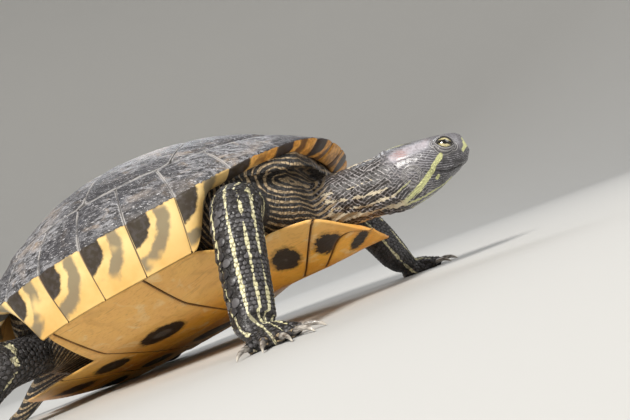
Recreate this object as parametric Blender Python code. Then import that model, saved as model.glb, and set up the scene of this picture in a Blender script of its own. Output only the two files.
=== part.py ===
"""Red-eared slider turtle, an adult at life size, resting with its front raised on its forelegs.

The shell is drawn in a frame of its own: X runs from tail to head, Y to the animal's left, Z up,
with the origin on the flat underside at mid length. One empty carries that frame and tilts it, so
the shell, the trunk, the neck and the head stand as they do on the animal. Legs, feet, claws and
tail are drawn in the part's own frame, because they reach down to the floor at Z = 0.
"""
import math

import bmesh
import bpy
import numpy as np
from mathutils import Matrix, Vector

# Driving dimensions, in metres and degrees.
SHELL_LENGTH = 0.240
SHELL_WIDTH = 0.181
DOME_RISE = 0.060            # from the rim to the crown of the carapace
EDGE_HEIGHT = 0.0405         # rim above the underside at mid length
FRONT_LIFT = 0.0140          # extra height of the rim over the neck
REAR_DROP = 0.0060           # the rim sinks this much over the tail
PLATE = 0.0038               # thickness of a horn plate with its bone
GAP = 0.0003                 # clearance between touching pieces
STANCE_PITCH = 7.5           # nose up
STANCE_ROLL = 9.0            # right side up
STANCE_PLACE = (-0.0068, 0.0012)   # where the shell frame's origin stands, in plan
FLOOR_CUT = 0.0005           # depth of each small flat that rests on the floor

HALF = SHELL_LENGTH / 2
MARGIN_LEVEL = 0.70          # plan level of the seam between the dome's plates and the rim plates
UNDERSIDE_LEVEL = 0.80       # plan level where the rim's underside ends

# Materials: base colour, roughness.
FINISHES = {
    "carapace_horn": ((0.115, 0.110, 0.095), 0.50),
    "rim_horn": ((0.150, 0.130, 0.085), 0.50),
    "plastron_horn": ((0.800, 0.520, 0.160), 0.42),
    "skin": ((0.085, 0.085, 0.070), 0.60),
    "head_skin": ((0.130, 0.130, 0.120), 0.38),
    "claw_horn": ((0.350, 0.310, 0.260), 0.45),
    "eye": ((0.420, 0.430, 0.180), 0.08),
}


# ---------------------------------------------------------------- meshes and materials
def material(name):
    """A Principled material, made once and shared by all the pieces of one finish."""
    found = bpy.data.materials.get(name)
    if found:
        return found
    colour, roughness = FINISHES[name]
    made = bpy.data.materials.new(name)
    made.use_nodes = True
    shader = made.node_tree.nodes["Principled BSDF"]
    shader.inputs["Base Color"].default_value = (*colour, 1.0)
    shader.inputs["Roughness"].default_value = roughness
    made.diffuse_color = (*colour, 1.0)
    return made


def solid(name, points, faces, finish, parent=None):
    """One closed mesh object with its faces turned outward."""
    mesh = bpy.data.meshes.new(name)
    mesh.from_pydata([tuple(p) for p in points], [], faces)
    shape = bmesh.new()
    shape.from_mesh(mesh)
    bmesh.ops.recalc_face_normals(shape, faces=shape.faces)
    if shape.calc_volume(signed=True) < 0:
        bmesh.ops.reverse_faces(shape, faces=shape.faces)
    shape.to_mesh(mesh)
    shape.free()
    mesh.materials.append(material(finish))
    mesh.shade_smooth()
    mesh.set_sharp_from_angle(angle=math.radians(40))
    made = bpy.data.objects.new(name, mesh)
    bpy.context.scene.collection.objects.link(made)
    made.parent = parent
    return made


def grid_faces(rows, columns, start=0, flip=False):
    """Quads over a grid of points stored row after row."""
    faces = []
    for i in range(rows - 1):
        for j in range(columns - 1):
            a = start + i * columns + j
            quad = (a, a + 1, a + columns + 1, a + columns)
            faces.append(quad[::-1] if flip else quad)
    return faces


def plate_solid(name, outer, inner, finish, parent):
    """A plate between two matching grids, closed round its border."""
    rows, columns = outer.shape[:2]
    count = rows * columns
    faces = grid_faces(rows, columns) + grid_faces(rows, columns, count, flip=True)
    border = [j for j in range(columns)]
    border += [i * columns + columns - 1 for i in range(1, rows)]
    border += [(rows - 1) * columns + j for j in range(columns - 2, -1, -1)]
    border += [i * columns for i in range(rows - 2, 0, -1)]
    for a, b in zip(border, border[1:] + border[:1]):
        faces.append((a, b, b + count, a + count))
    points = np.concatenate([outer.reshape(-1, 3), inner.reshape(-1, 3)])
    return solid(name, points, faces, finish, parent)


def loft_solid(name, rings, finish, parent=None, tips=(None, None)):
    """A body through closed rings. Each end is a fan to its tip, or to the ring's middle."""
    rings = np.asarray(rings)
    count, sides = rings.shape[:2]
    faces = []
    for i in range(count - 1):
        for j in range(sides):
            k = (j + 1) % sides
            faces.append((i * sides + j, i * sides + k, (i + 1) * sides + k, (i + 1) * sides + j))
    points = list(rings.reshape(-1, 3))
    for end, ring, tip in ((0, rings[0], tips[0]), (count - 1, rings[-1], tips[1])):
        points.append(ring.mean(axis=0) if tip is None else np.asarray(tip))
        centre = len(points) - 1
        for j in range(sides):
            faces.append((centre, end * sides + j, end * sides + (j + 1) % sides))
    return solid(name, points, faces, finish, parent)


def curve(x, points):
    """A smooth curve through a few (place, value) points, flat where the values turn."""
    place, value = np.array(points, dtype=float).T
    step = np.diff(place)
    slope = np.diff(value) / step
    tangent = np.zeros(len(place))
    tangent[0], tangent[-1] = slope[0], slope[-1]
    same = slope[:-1] * slope[1:] > 0
    mean = 2 * slope[:-1] * slope[1:] / np.where(same, slope[:-1] + slope[1:], 1)
    tangent[1:-1] = np.where(same, mean, 0)
    x = np.clip(np.asarray(x, dtype=float), place[0], place[-1])
    i = np.clip(np.searchsorted(place, x, side="right") - 1, 0, len(step) - 1)
    h = step[i]
    t = (x - place[i]) / h
    return (value[i] * (1 + 2 * t) * (1 - t) ** 2 + tangent[i] * h * t * (1 - t) ** 2
            + value[i + 1] * t ** 2 * (3 - 2 * t) + tangent[i + 1] * h * t ** 2 * (t - 1))


def smooth_step(x, low, high):
    t = np.clip((x - low) / (high - low), 0, 1)
    return t * t * (3 - 2 * t)


def superellipse(angle, power):
    """Unit rounded square: power 1 is a circle and smaller is squarer."""
    c, s = np.cos(angle), np.sin(angle)
    return np.sign(c) * np.abs(c) ** power, np.sign(s) * np.abs(s) ** power


# ---------------------------------------------------------------- cutters
def cutter(shape):
    shape.hide_render = True
    shape.display_type = "WIRE"
    shape.hide_set(True)
    return shape


def subtract(piece, tool):
    cut = piece.modifiers.new("clear_" + tool.name, "BOOLEAN")
    cut.operation = "DIFFERENCE"
    cut.object = tool
    return piece


def inflated(piece, distance):
    """A hidden copy of a piece, grown outward, that cuts its neighbours clear of it."""
    copy = piece.copy()
    copy.data = piece.data.copy()
    copy.name = "clear_of_" + piece.name
    copy.modifiers.clear()
    bpy.context.scene.collection.objects.link(copy)
    shape = bmesh.new()
    shape.from_mesh(copy.data)
    shape.normal_update()
    for vertex, normal in [(v, v.normal.copy()) for v in shape.verts]:
        vertex.co += normal * distance
    shape.to_mesh(copy.data)
    shape.free()
    return cutter(copy)


def box_cutter(name, low, high, parent=None):
    corners = [(x, y, z) for x in (low[0], high[0]) for y in (low[1], high[1]) for z in (low[2], high[2])]
    faces = [(0, 1, 3, 2), (4, 6, 7, 5), (0, 4, 5, 1), (2, 3, 7, 6), (0, 2, 6, 4), (1, 5, 7, 3)]
    return cutter(solid(name, corners, faces, "skin", parent))


# ---------------------------------------------------------------- the shell's form
def plan_scale(x):
    """Half the shell's width at a lengthwise place: a little fuller behind."""
    return SHELL_WIDTH / 2 * (1 - 0.07 * x / HALF)


def level_width(x, level):
    """Half width of the plan curve at a level. Level 1 is the rim and level 0 the crown."""
    return plan_scale(x) * np.maximum(level - (x / HALF) ** 2, 0) ** 0.4


def level_point(level, turn):
    """A point of the plan curve at a level, turned from the front (0) to the tail (pi)."""
    x = HALF * np.sqrt(level) * np.cos(turn)
    return x, plan_scale(x) * (level * np.sin(turn) ** 2) ** 0.4


def level_at(x, y):
    return (x / HALF) ** 2 + (np.abs(y) / plan_scale(x)) ** 2.5


def edge_height(x):
    ahead, behind = np.maximum(x / HALF, 0), np.maximum(-x / HALF, 0)
    return EDGE_HEIGHT + FRONT_LIFT * ahead ** 2.2 - REAR_DROP * behind ** 2


def dome(x, y):
    """Height of the carapace: steep over the sides, easier over the neck and the tail."""
    level = np.clip(level_at(x, y), 1e-9, 1)
    along = np.clip((x / HALF) ** 2 / level, 0, 1)
    power = 0.78 + along * np.where(x > 0, 0.30, 0.22)
    return edge_height(x) + DOME_RISE * (1 - level ** 1.1) ** power


def below(surface, x, y, depth):
    """Points under a height surface by a depth along its normal."""
    h = 1e-5
    slope_x = (surface(x + h, y) - surface(x - h, y)) / (2 * h)
    slope_y = (surface(x, y + h) - surface(x, y - h)) / (2 * h)
    size = np.sqrt(1 + slope_x ** 2 + slope_y ** 2)
    return np.stack([x + depth * slope_x / size, y + depth * slope_y / size,
                     surface(x, y) - depth / size], axis=-1)


def on(surface, x, y):
    return np.stack([x, y, surface(x, y)], axis=-1)


# ---------------------------------------------------------------- carapace
VERTEBRAL_SEAMS = (0.310, 0.125, -0.090, -0.290)     # fractions of the shell length
COSTAL_SEAMS = (0.215, 0.020, -0.190)
VERTEBRAL_HALF = 0.112 * SHELL_LENGTH
PLATE_ROWS = 6
TIP_WIDTH = 0.004                                    # a pointed plate ends this wide


def carapace_vertebrals(parent):
    """Five plates down the back, from the plate over the neck to the one over the tail."""
    y = np.linspace(-VERTEBRAL_HALF + GAP / 2, VERTEBRAL_HALF - GAP / 2, PLATE_ROWS)
    reach = HALF * np.sqrt(MARGIN_LEVEL - (np.abs(y) / plan_scale(0.8 * HALF)) ** 2.5)
    ends = [reach] + [np.full(PLATE_ROWS, s * SHELL_LENGTH) for s in VERTEBRAL_SEAMS] + [-reach]
    for number, (front, back) in enumerate(zip(ends[:-1], ends[1:]), start=1):
        share = np.linspace(0, 1, PLATE_ROWS)[:, None]
        x = (front - GAP / 2) * (1 - share) + (back + GAP / 2) * share
        plan_y = np.broadcast_to(y, x.shape)
        plate_solid(f"vertebral_{number}", on(dome, x, plan_y), below(dome, x, plan_y, PLATE),
                    "carapace_horn", parent)


def costal_tip(sign):
    """Where the plates' outer edge meets the side of the row down the back."""
    level = MARGIN_LEVEL - ((VERTEBRAL_HALF + TIP_WIDTH) / plan_scale(sign * 0.8 * HALF)) ** 2.5
    return sign * HALF * math.sqrt(level)


def carapace_costals(parent):
    """Four plates down each flank, between the row down the back and the rim."""
    ends = [costal_tip(1)] + [s * SHELL_LENGTH for s in COSTAL_SEAMS] + [costal_tip(-1)]
    for side, sign in (("left", 1), ("right", -1)):
        for number, (front, back) in enumerate(zip(ends[:-1], ends[1:]), start=1):
            x = np.linspace(front - GAP / 2, back + GAP / 2, PLATE_ROWS)[:, None]
            outer = level_width(x, MARGIN_LEVEL) - GAP / 2
            share = np.linspace(0, 1, PLATE_ROWS)[None, :]
            y = sign * ((VERTEBRAL_HALF + GAP / 2) * (1 - share) + outer * share)
            x = np.broadcast_to(x, y.shape)
            plate_solid(f"costal_{side}_{number}", on(dome, x, y), below(dome, x, y, PLATE),
                        "carapace_horn", parent)


BRIDGE_FRONT, BRIDGE_BACK = 0.205, -0.155            # fractions of the shell length
BRIDGE_DROP = 0.024                                  # how far the rim's underside runs down there


def bridge_share(x):
    """One along the bridge that joins the two shells, nothing beyond its ends."""
    return (smooth_step(x, (BRIDGE_BACK - 0.06) * SHELL_LENGTH, BRIDGE_BACK * SHELL_LENGTH)
            * (1 - smooth_step(x, BRIDGE_FRONT * SHELL_LENGTH, (BRIDGE_FRONT + 0.07) * SHELL_LENGTH)))


def underside_edge(turn):
    """The inner edge of the rim's underside, on the animal's left."""
    x, y = level_point(UNDERSIDE_LEVEL, turn)
    z = edge_height(x) - 0.0015 - BRIDGE_DROP * bridge_share(x)
    return x, y, z


def rim_section(turn):
    """A closed ring across the rim: over the top, round the edge and back under."""
    ring = []
    for level in (MARGIN_LEVEL + 0.004, 0.80, 0.90, 0.97, 1.0):
        x, y = level_point(level, turn)
        ring.append((x, y, dome(x, y)))
    edge = np.array(ring[-1])
    inner = np.array(underside_edge(turn))
    ring.append(edge * 0.97 + inner * 0.03 - np.array((0, 0, 0.0012)))
    ring.append(edge * 0.5 + inner * 0.5 - np.array((0, 0, 0.0012)))
    ring.append(inner)
    x, y = level_point(MARGIN_LEVEL + 0.004, turn)
    ring.append(below(dome, np.array(x), np.array(y), PLATE))
    return np.array([np.asarray(p, dtype=float) for p in ring])


NUCHAL_TURN = 0.050          # half of the small plate over the neck, as a turn about the plan
RIM_STEPS = 26


def carapace_rim(parent):
    """The row of plates round each side of the rim, and the small one between them in front."""
    seam = GAP / SHELL_WIDTH
    for side, sign in (("left", 1), ("right", -1)):
        turns = np.linspace(NUCHAL_TURN + seam, math.pi - 0.012, RIM_STEPS)
        rings = np.array([rim_section(t) for t in turns]) * np.array((1, sign, 1))
        loft_solid(f"marginals_{side}", rings, "rim_horn", parent)
    rings = [rim_section(t) for t in np.linspace(0.002, NUCHAL_TURN - seam, 3)]
    mirrored = [r * np.array((1, -1, 1)) for r in rings[::-1]]
    loft_solid("nuchal", np.array(mirrored + rings), "carapace_horn", parent)


# ---------------------------------------------------------------- plastron
# Half width of the lower shell, as (place, half width) in fractions of the shell length.
PLASTRON_EDGE = ((-0.460, 0.070), (-0.440, 0.118), (-0.360, 0.168), (-0.260, 0.190), (-0.160, 0.190),
                 (0.200, 0.205), (0.320, 0.210), (0.400, 0.196), (0.445, 0.155), (0.480, 0.098),
                 (0.507, 0.056))
# How far its edge stands above its middle line, as (place, rise) in the same fractions.
PLASTRON_BOAT = ((-0.460, 0.014), (-0.300, 0.006), (0.050, 0.012), (0.200, 0.038), (0.320, 0.064),
                 (0.420, 0.064), (0.475, 0.045), (0.510, 0.020))
# Seams across it: (place at the middle, how far the seam runs forward at the edge).
PLASTRON_SEAMS = ((0.492, 0.015), (0.330, 0.144), (0.290, 0.125), (0.095, 0.000),
                  (-0.130, 0.000), (-0.250, -0.020), (-0.440, -0.020))
SEAM_SLACK = 2 * GAP         # along the shell, so that the slanted seams keep their clearance too
PLASTRON_PAIRS = ("humeral", "pectoral", "abdominal", "femoral", "anal")


def plastron_height(x, y):
    """Lower shell: a shallow keel, turned up over the bridge to meet the rim's underside."""
    x, y = np.asarray(x, dtype=float), np.abs(y)
    lift = curve(x / SHELL_LENGTH, PLASTRON_BOAT)
    rise = lift * SHELL_LENGTH * (y / (0.20 * SHELL_LENGTH)) ** 1.4
    ends = (0.006 * smooth_step(-x / SHELL_LENGTH, 0.34, 0.52)
            - 0.004 * smooth_step(x / SHELL_LENGTH, 0.10, 0.42))
    wing = np.clip((y / SHELL_LENGTH - 0.20) / 0.135, 0, 1)
    return rise * (1 - 0.6 * wing) + ends + 0.0125 * wing ** 1.3


def plastron_reach(x):
    """Half width of the lower shell, with the bridge's wing where there is one."""
    lobe = curve(x / SHELL_LENGTH, PLASTRON_EDGE) * SHELL_LENGTH
    place = x / SHELL_LENGTH
    wing = (smooth_step(place, BRIDGE_BACK - 0.012, BRIDGE_BACK + 0.012)
            * (1 - smooth_step(place, BRIDGE_FRONT - 0.012, BRIDGE_FRONT + 0.095)))
    turn = np.arccos(np.clip(x / (HALF * math.sqrt(UNDERSIDE_LEVEL)), -1, 1))
    side = underside_edge(turn)[1] - GAP
    return lobe + (side - lobe) * wing


def plastron_plate(name, index, across, middle_gap, parent):
    """One plate between two seams, over a span from the middle (0) to an edge (1 or -1)."""
    rows = 5
    (front, front_lean), (back, back_lean) = PLASTRON_SEAMS[index], PLASTRON_SEAMS[index + 1]
    share = np.linspace(0, 1, rows)[:, None]
    ahead = (front + front_lean * np.abs(across)) * SHELL_LENGTH - SEAM_SLACK / 2
    behind = (back + back_lean * np.abs(across)) * SHELL_LENGTH + SEAM_SLACK / 2
    x = ahead * (1 - share) + behind * share
    sign = np.sign(across.sum()) if middle_gap else np.sign(across)
    y = sign * middle_gap + (plastron_reach(x) - middle_gap) * across
    inner = below(plastron_height, x, y, -PLATE)
    if middle_gap:
        inner[..., 1] = sign * np.maximum(sign * inner[..., 1], middle_gap)
    return plate_solid(name, on(plastron_height, x, y), inner, "plastron_horn", parent)


def plastron(parent, floor):
    """The underside: a plate under the neck that spans both sides, then five pairs."""
    plastron_plate("gular", 0, np.linspace(-1, 1, 11)[None, :], 0, parent)
    for side, sign in (("left", 1), ("right", -1)):
        across = sign * np.linspace(0, 1, 6)[None, :]
        rim_clearance = inflated(bpy.data.objects[f"marginals_{side}"], GAP)
        for index, plate in enumerate(PLASTRON_PAIRS, start=1):
            made = plastron_plate(f"{plate}_{side}", index, across, GAP / 2, parent)
            if plate in ("pectoral", "abdominal"):
                subtract(made, rim_clearance)
            if plate in ("anal", "femoral"):
                subtract(made, floor)


# ---------------------------------------------------------------- flesh that moves with the shell
TRUNK_BACK, TRUNK_FRONT = -0.405, 0.395              # fractions of the shell length
TRUNK_SIDES = 16
TRUNK_TOP = 0.30 * SHELL_LENGTH
TRUNK_CLEARANCE = 0.0022     # between the flesh and the lower shell's inner face


def trunk(parent):
    """The body inside the shell, seen in the openings before and behind."""
    rings = []
    angles = np.linspace(0, 2 * math.pi, TRUNK_SIDES, endpoint=False)
    for place in np.linspace(TRUNK_BACK, TRUNK_FRONT, 10):
        x = place * SHELL_LENGTH
        end = 1 - 0.25 * smooth_step(place, 0.33, TRUNK_FRONT) - 0.35 * smooth_step(-place, 0.31, -TRUNK_BACK)
        half = curve(place, ((-0.41, 0.19), (-0.25, 0.255), (0.0, 0.280), (0.25, 0.262), (0.40, 0.215)))
        low = plastron_height(x, 0.0) + PLATE + TRUNK_CLEARANCE
        high = min(dome(x, 0.0) - PLATE - TRUNK_CLEARANCE, TRUNK_TOP)
        c, s = superellipse(angles, 0.85)
        middle, rise = (low + high) / 2, (high - low) / 2
        y = c * half * SHELL_LENGTH * end
        z = np.clip(middle + s * rise * end, plastron_height(x, y) + PLATE + TRUNK_CLEARANCE,
                    dome(x, y) - PLATE - TRUNK_CLEARANCE)
        ring = np.stack([np.full(TRUNK_SIDES, x), y, z], axis=-1)
        rings.append(ring)
    return loft_solid("trunk", rings, "skin", parent)


def swept_rings(path, wide, tall, steps, sides, squareness=1.0, up=(0, 0, 1)):
    """Rings square to a smooth path, with widths across it and heights along its upward side."""
    path = np.array(path, dtype=float)
    key = np.linspace(0, 1, len(path))
    t = np.linspace(0, 1, steps)
    centre = np.stack([curve(t, list(zip(key, path[:, k]))) for k in range(3)], axis=-1)
    tangent = np.gradient(centre, axis=0)
    tangent /= np.linalg.norm(tangent, axis=1)[:, None]
    side = np.cross(np.array(up, dtype=float), tangent)
    side /= np.linalg.norm(side, axis=1)[:, None]
    top = np.cross(tangent, side)
    w, h = curve(t, wide), curve(t, tall)
    c, s = superellipse(np.linspace(0, 2 * math.pi, sides, endpoint=False), squareness)
    return (centre[:, None] + side[:, None] * (c[None, :, None] * w[:, None, None])
            + top[:, None] * (s[None, :, None] * h[:, None, None]))


HEAD_BACK = 0.576 * SHELL_LENGTH                     # where the neck ends and the head begins
NECK_PATH = ((0.300, 0.000, 0.108), (0.400, 0.000, 0.112), (0.500, -0.002, 0.098), (0.5747, -0.003, 0.083))


def neck(parent, trunk_clearance):
    """The stretched neck, from inside the front opening to the back of the head."""
    path = [tuple(v * SHELL_LENGTH for v in p) for p in NECK_PATH]
    wide = ((0.0, 0.0170), (0.5, 0.0168), (0.8, 0.0158), (1.0, 0.0146))
    tall = ((0.0, 0.0150), (0.4, 0.0155), (0.8, 0.0170), (1.0, 0.0174))
    rings = swept_rings(path, wide, tall, 9, 16)
    rings[-1][:, 0] = HEAD_BACK - GAP
    made = loft_solid("neck", rings, "skin", parent)
    return subtract(made, trunk_clearance)


# The head in side view and from above, in fractions of the shell length:
# (place, height of the crown), (place, height of the throat) and (place, half width).
HEAD_CROWN = ((0.576, 0.156), (0.620, 0.148), (0.654, 0.138), (0.708, 0.120), (0.735, 0.108),
              (0.747, 0.096), (0.750, 0.084))
HEAD_THROAT = ((0.576, 0.010), (0.620, 0.012), (0.660, 0.019), (0.690, 0.028), (0.715, 0.036),
               (0.735, 0.045), (0.750, 0.062))
HEAD_HALF = ((0.576, 0.060), (0.610, 0.064), (0.650, 0.061), (0.690, 0.052), (0.720, 0.038),
             (0.738, 0.026), (0.750, 0.010))
HEAD_STATIONS = (0.576, 0.600, 0.624, 0.648, 0.672, 0.693, 0.710, 0.724, 0.735, 0.743, 0.748)
HEAD_SIDES = 20
HEAD_SWAY = -0.004           # the head lies this far to the right, in the same fractions
EYE_CENTRE = (0.706, 0.0370, 0.0868)
EYE_RADIUS = 0.0052
MOUTH_FRONT, MOUTH_BACK = (0.760, 0.042), (0.663, 0.034)    # (place, height)


def head_rings():
    rings = []
    angles = np.linspace(0, 2 * math.pi, HEAD_SIDES, endpoint=False)
    for place in HEAD_STATIONS:
        top, bottom, half = (curve(place, c) for c in (HEAD_CROWN, HEAD_THROAT, HEAD_HALF))
        c, s = superellipse(angles, 0.92)
        middle, rise = (top + bottom) / 2, (top - bottom) / 2
        narrow = 1 - 0.16 * np.clip(-s, 0, 1)
        across = HEAD_SWAY + c * half * narrow
        rings.append(np.stack([np.full(HEAD_SIDES, place), across, middle + s * rise], axis=-1))
    return np.array(rings) * SHELL_LENGTH


def eyeball(name, sign, radius, parent, finish):
    """An eye: a ball whose poles lie across the head."""
    rings = []
    around = np.linspace(0, 2 * math.pi, 12, endpoint=False)
    for lean in np.linspace(-75, 75, 6):
        r, y = radius * math.cos(math.radians(lean)), radius * math.sin(math.radians(lean))
        rings.append(np.stack([r * np.cos(around), np.full(12, y), r * np.sin(around)], axis=-1))
    centre = np.array((EYE_CENTRE[0], HEAD_SWAY + sign * EYE_CENTRE[1], EYE_CENTRE[2])) * SHELL_LENGTH
    tips = (centre + np.array((0, -radius, 0)), centre + np.array((0, radius, 0)))
    return loft_solid(name, np.array(rings) + centre, finish, parent, tips)


def head(parent):
    """Skull and upper beak, the lower jaw under the mouth line, and the two eyes in their sockets."""
    rings = head_rings()
    tip = np.array((0.7505, HEAD_SWAY, 0.073)) * SHELL_LENGTH
    skull = loft_solid("head", rings, "head_skin", parent, (None, tip))
    jaw = loft_solid("lower_jaw", rings, "head_skin", parent, (None, tip))
    low, back = -0.10 * SHELL_LENGTH, MOUTH_BACK[0] * SHELL_LENGTH
    front_z, back_z = MOUTH_FRONT[1] * SHELL_LENGTH, MOUTH_BACK[1] * SHELL_LENGTH
    front = MOUTH_FRONT[0] * SHELL_LENGTH
    for name, grow, piece, keep in (("mouth_gap", GAP, skull, False), ("jaw_block", 0.0, jaw, True)):
        outline = [(back - grow, low - grow), (front + 0.01, low - grow),
                   (front + 0.01, front_z + grow), (back - grow, back_z + grow)]
        points = [(x, y, z) for y in (-0.05, 0.05) for x, z in outline]
        faces = [(0, 1, 2, 3), (7, 6, 5, 4)] + [(i, i + 4, (i + 1) % 4 + 4, (i + 1) % 4) for i in range(4)]
        tool = cutter(solid(name, points, faces, "skin", parent))
        subtract(piece, tool)
        if keep:
            piece.modifiers[-1].operation = "INTERSECT"
    for side, sign in (("left", 1), ("right", -1)):
        eyeball(f"eye_{side}", sign, EYE_RADIUS, parent, "eye")
        subtract(skull, cutter(eyeball(f"socket_{side}", sign, EYE_RADIUS + GAP, parent, "eye")))


# ---------------------------------------------------------------- legs, feet, claws and tail
# Each leg: shoulder and elbow (hip and knee), then the ankle's place in plan, all in the shell frame
# as fractions of its length; half widths and half heights along it, in metres; the foot's heading.
FORELEG = {"wide": ((0, 0.0120), (0.35, 0.0118), (0.67, 0.0096), (1, 0.0070)),
           "tall": ((0, 0.0095), (0.35, 0.0110), (0.67, 0.0088), (1, 0.0030)),
           "length": 0.0235, "width": 0.0150, "toes": 5}
HINDLEG = {"wide": ((0, 0.0145), (0.35, 0.0140), (0.67, 0.0105), (1, 0.0080)),
           "tall": ((0, 0.0105), (0.35, 0.0115), (0.67, 0.0092), (1, 0.0030)),
           "length": 0.0250, "width": 0.0165, "toes": 4}
LEGS = {
    "foreleg_right": {**FORELEG, "inner": ((0.245, -0.140, 0.114), (0.318, -0.292, 0.114)),
                      "ankle": (0.290, -0.350), "heading": -50},
    "foreleg_left": {**FORELEG, "inner": ((0.250, 0.140, 0.112), (0.400, 0.262, 0.108)),
                     "ankle": (0.462, 0.285), "heading": 22},
    "hindleg_right": {**HINDLEG, "inner": ((-0.270, -0.130, 0.092), (-0.290, -0.300, 0.066)),
                      "ankle": (-0.385, -0.375), "heading": -128},
    "hindleg_left": {**HINDLEG, "inner": ((-0.270, 0.130, 0.092), (-0.290, 0.295, 0.072)),
                     "ankle": (-0.385, 0.365), "heading": 128},
}
LEG_RINGS, LEG_SIDES = 8, 12
ANKLE_HEIGHT = 0.0125
FOOT_AHEAD = 0.0080          # from the ankle to the middle of the foot
SOLE_DEPTH = 0.0035          # the leg's core runs down to here inside the foot
TOE_SPREAD = 48              # degrees from the foot's heading to its outer toes
TOE_WIDTH = 0.15             # radians
CLAW_LENGTH = 0.0120         # with the root that sits in the toe
CLAW_ROOT = 0.0020
CLAW_RADIUS = 0.0014


def toe_angles(count):
    return np.radians(np.linspace(-TOE_SPREAD, TOE_SPREAD, count))


def foot_outline(angle, leg):
    """Reach of the foot from its middle at an angle: a round heel and one lobe for each toe."""
    length, width = leg["length"], leg["width"]
    ahead = np.cos(angle)
    palm = width * 0.62 * (1 + 0.30 * np.clip(ahead, 0, 1))
    toes = np.zeros_like(angle)
    for toe in toe_angles(leg["toes"]):
        bend = 1 - 0.22 * abs(toe) / math.radians(TOE_SPREAD)
        toes = np.maximum(toes, bend * np.exp(-((angle - toe) / TOE_WIDTH) ** 2))
    return palm + (length * 0.78 - palm) * toes


def foot(name, leg, middle):
    """A low webbed foot with a flat sole on the floor."""
    steps, rows = 36, 3
    angle = np.linspace(-math.pi, math.pi, steps, endpoint=False)
    reach = foot_outline(angle, leg)
    turn = math.radians(leg["heading"])
    x0, y0 = middle

    def ring(share, height):
        return np.stack([x0 + share * reach * np.cos(angle + turn), y0 + share * reach * np.sin(angle + turn),
                         np.full(steps, height) if np.isscalar(height) else height], axis=-1)

    toe_height, heel_height = 0.0042, 0.0095
    rings = [ring(0.97, 0.0)]
    for share in np.linspace(1.0, 0.25, rows):
        fill = 1 - share ** 2
        rings.append(ring(share, toe_height * 0.45 + (heel_height - toe_height * 0.45) * fill ** 0.8))
    return loft_solid(name, rings, "skin")


def claws(name, leg, middle, foot_clearance):
    """One curved claw ahead of each toe, coming down to the floor."""
    turn = math.radians(leg["heading"])
    x0, y0 = middle
    for number, toe in enumerate(toe_angles(leg["toes"]), start=1):
        reach = foot_outline(np.array([toe]), leg)[0] - CLAW_ROOT
        direction = np.array((math.cos(toe + turn), math.sin(toe + turn), 0))
        start = np.array((x0, y0, 0)) + direction * reach
        path = [start + (0, 0, 0.0026), start + direction * 0.45 * CLAW_LENGTH + (0, 0, 0.0026),
                start + direction * 0.85 * CLAW_LENGTH + (0, 0, 0.0012)]
        taper = ((0, CLAW_RADIUS), (0.5, CLAW_RADIUS * 0.8), (1, CLAW_RADIUS * 0.45))
        rings = swept_rings(path, taper, taper, 3, 6)
        tip = start + direction * CLAW_LENGTH + (0, 0, 0.0003)
        claw = loft_solid(f"{name}_claw_{number}", rings, "claw_horn", tips=(None, tip))
        subtract(claw, foot_clearance)


def leg(name, leg_form, to_floor_frame, trunk_clearance):
    """A leg from inside the shell's opening, over its elbow or knee, down to its foot."""
    ankle = to_floor_frame @ Vector([v * SHELL_LENGTH for v in (*leg_form["ankle"], 0)])
    ankle.z = ANKLE_HEIGHT
    turn = math.radians(leg_form["heading"])
    middle = (ankle.x + FOOT_AHEAD * math.cos(turn), ankle.y + FOOT_AHEAD * math.sin(turn))
    foot_name = name.replace("leg", "foot")
    made_foot = foot(foot_name, leg_form, middle)
    foot_clearance = inflated(made_foot, GAP)
    claws(foot_name, leg_form, middle, foot_clearance)
    joints = [tuple(to_floor_frame @ Vector([v * SHELL_LENGTH for v in p])) for p in leg_form["inner"]]
    into_foot = (*middle, SOLE_DEPTH)
    rings = swept_rings(joints + [tuple(ankle), into_foot], leg_form["wide"], leg_form["tall"],
                        LEG_RINGS, LEG_SIDES, up=(0.25, 0, 1))
    made = loft_solid(name, rings, "skin")
    subtract(made, trunk_clearance)
    subtract(made, foot_clearance)
    return made


TAIL_PATH = ((-0.360, 0.000, 0.095), (-0.470, 0.000, 0.078))      # shell frame, before it lies down
TAIL_FLOOR = ((-0.1495, 0.0050), (-0.1675, 0.0140))       # on the floor, in metres


def tail(to_floor_frame, trunk_clearance, floor):
    """A short tail that leaves the rear opening and lies along the floor."""
    path = [tuple(to_floor_frame @ Vector([v * SHELL_LENGTH for v in p])) for p in TAIL_PATH]
    path += [(*TAIL_FLOOR[0], 0.0030), (*TAIL_FLOOR[1], 0.0012)]
    taper = ((0, 0.0090), (0.4, 0.0066), (0.7, 0.0038), (1, 0.0014))
    rings = swept_rings(path, taper, taper, 9, 10)
    made = loft_solid("tail", rings, "skin", tips=(None, np.array(path[-1]) + (-0.002, 0.002, 0)))
    subtract(made, trunk_clearance)
    return subtract(made, floor)


# ---------------------------------------------------------------- the animal
def stance_matrix():
    """From the shell frame to the floor: tilted, then lowered until the underside rests."""
    tilt = (Matrix.Rotation(math.radians(-STANCE_PITCH), 4, "Y")
            @ Matrix.Rotation(math.radians(-STANCE_ROLL), 4, "X"))
    x = np.linspace(-0.45, 0.45, 91)[:, None] * SHELL_LENGTH
    y = plastron_reach(x) * np.linspace(-1, 1, 41)[None, :]
    turn = np.array(tilt.to_3x3())
    lowest = (on(plastron_height, np.broadcast_to(x, y.shape), y) @ turn[2]).min()
    return Matrix.Translation((*STANCE_PLACE, -lowest - FLOOR_CUT)) @ tilt


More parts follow.
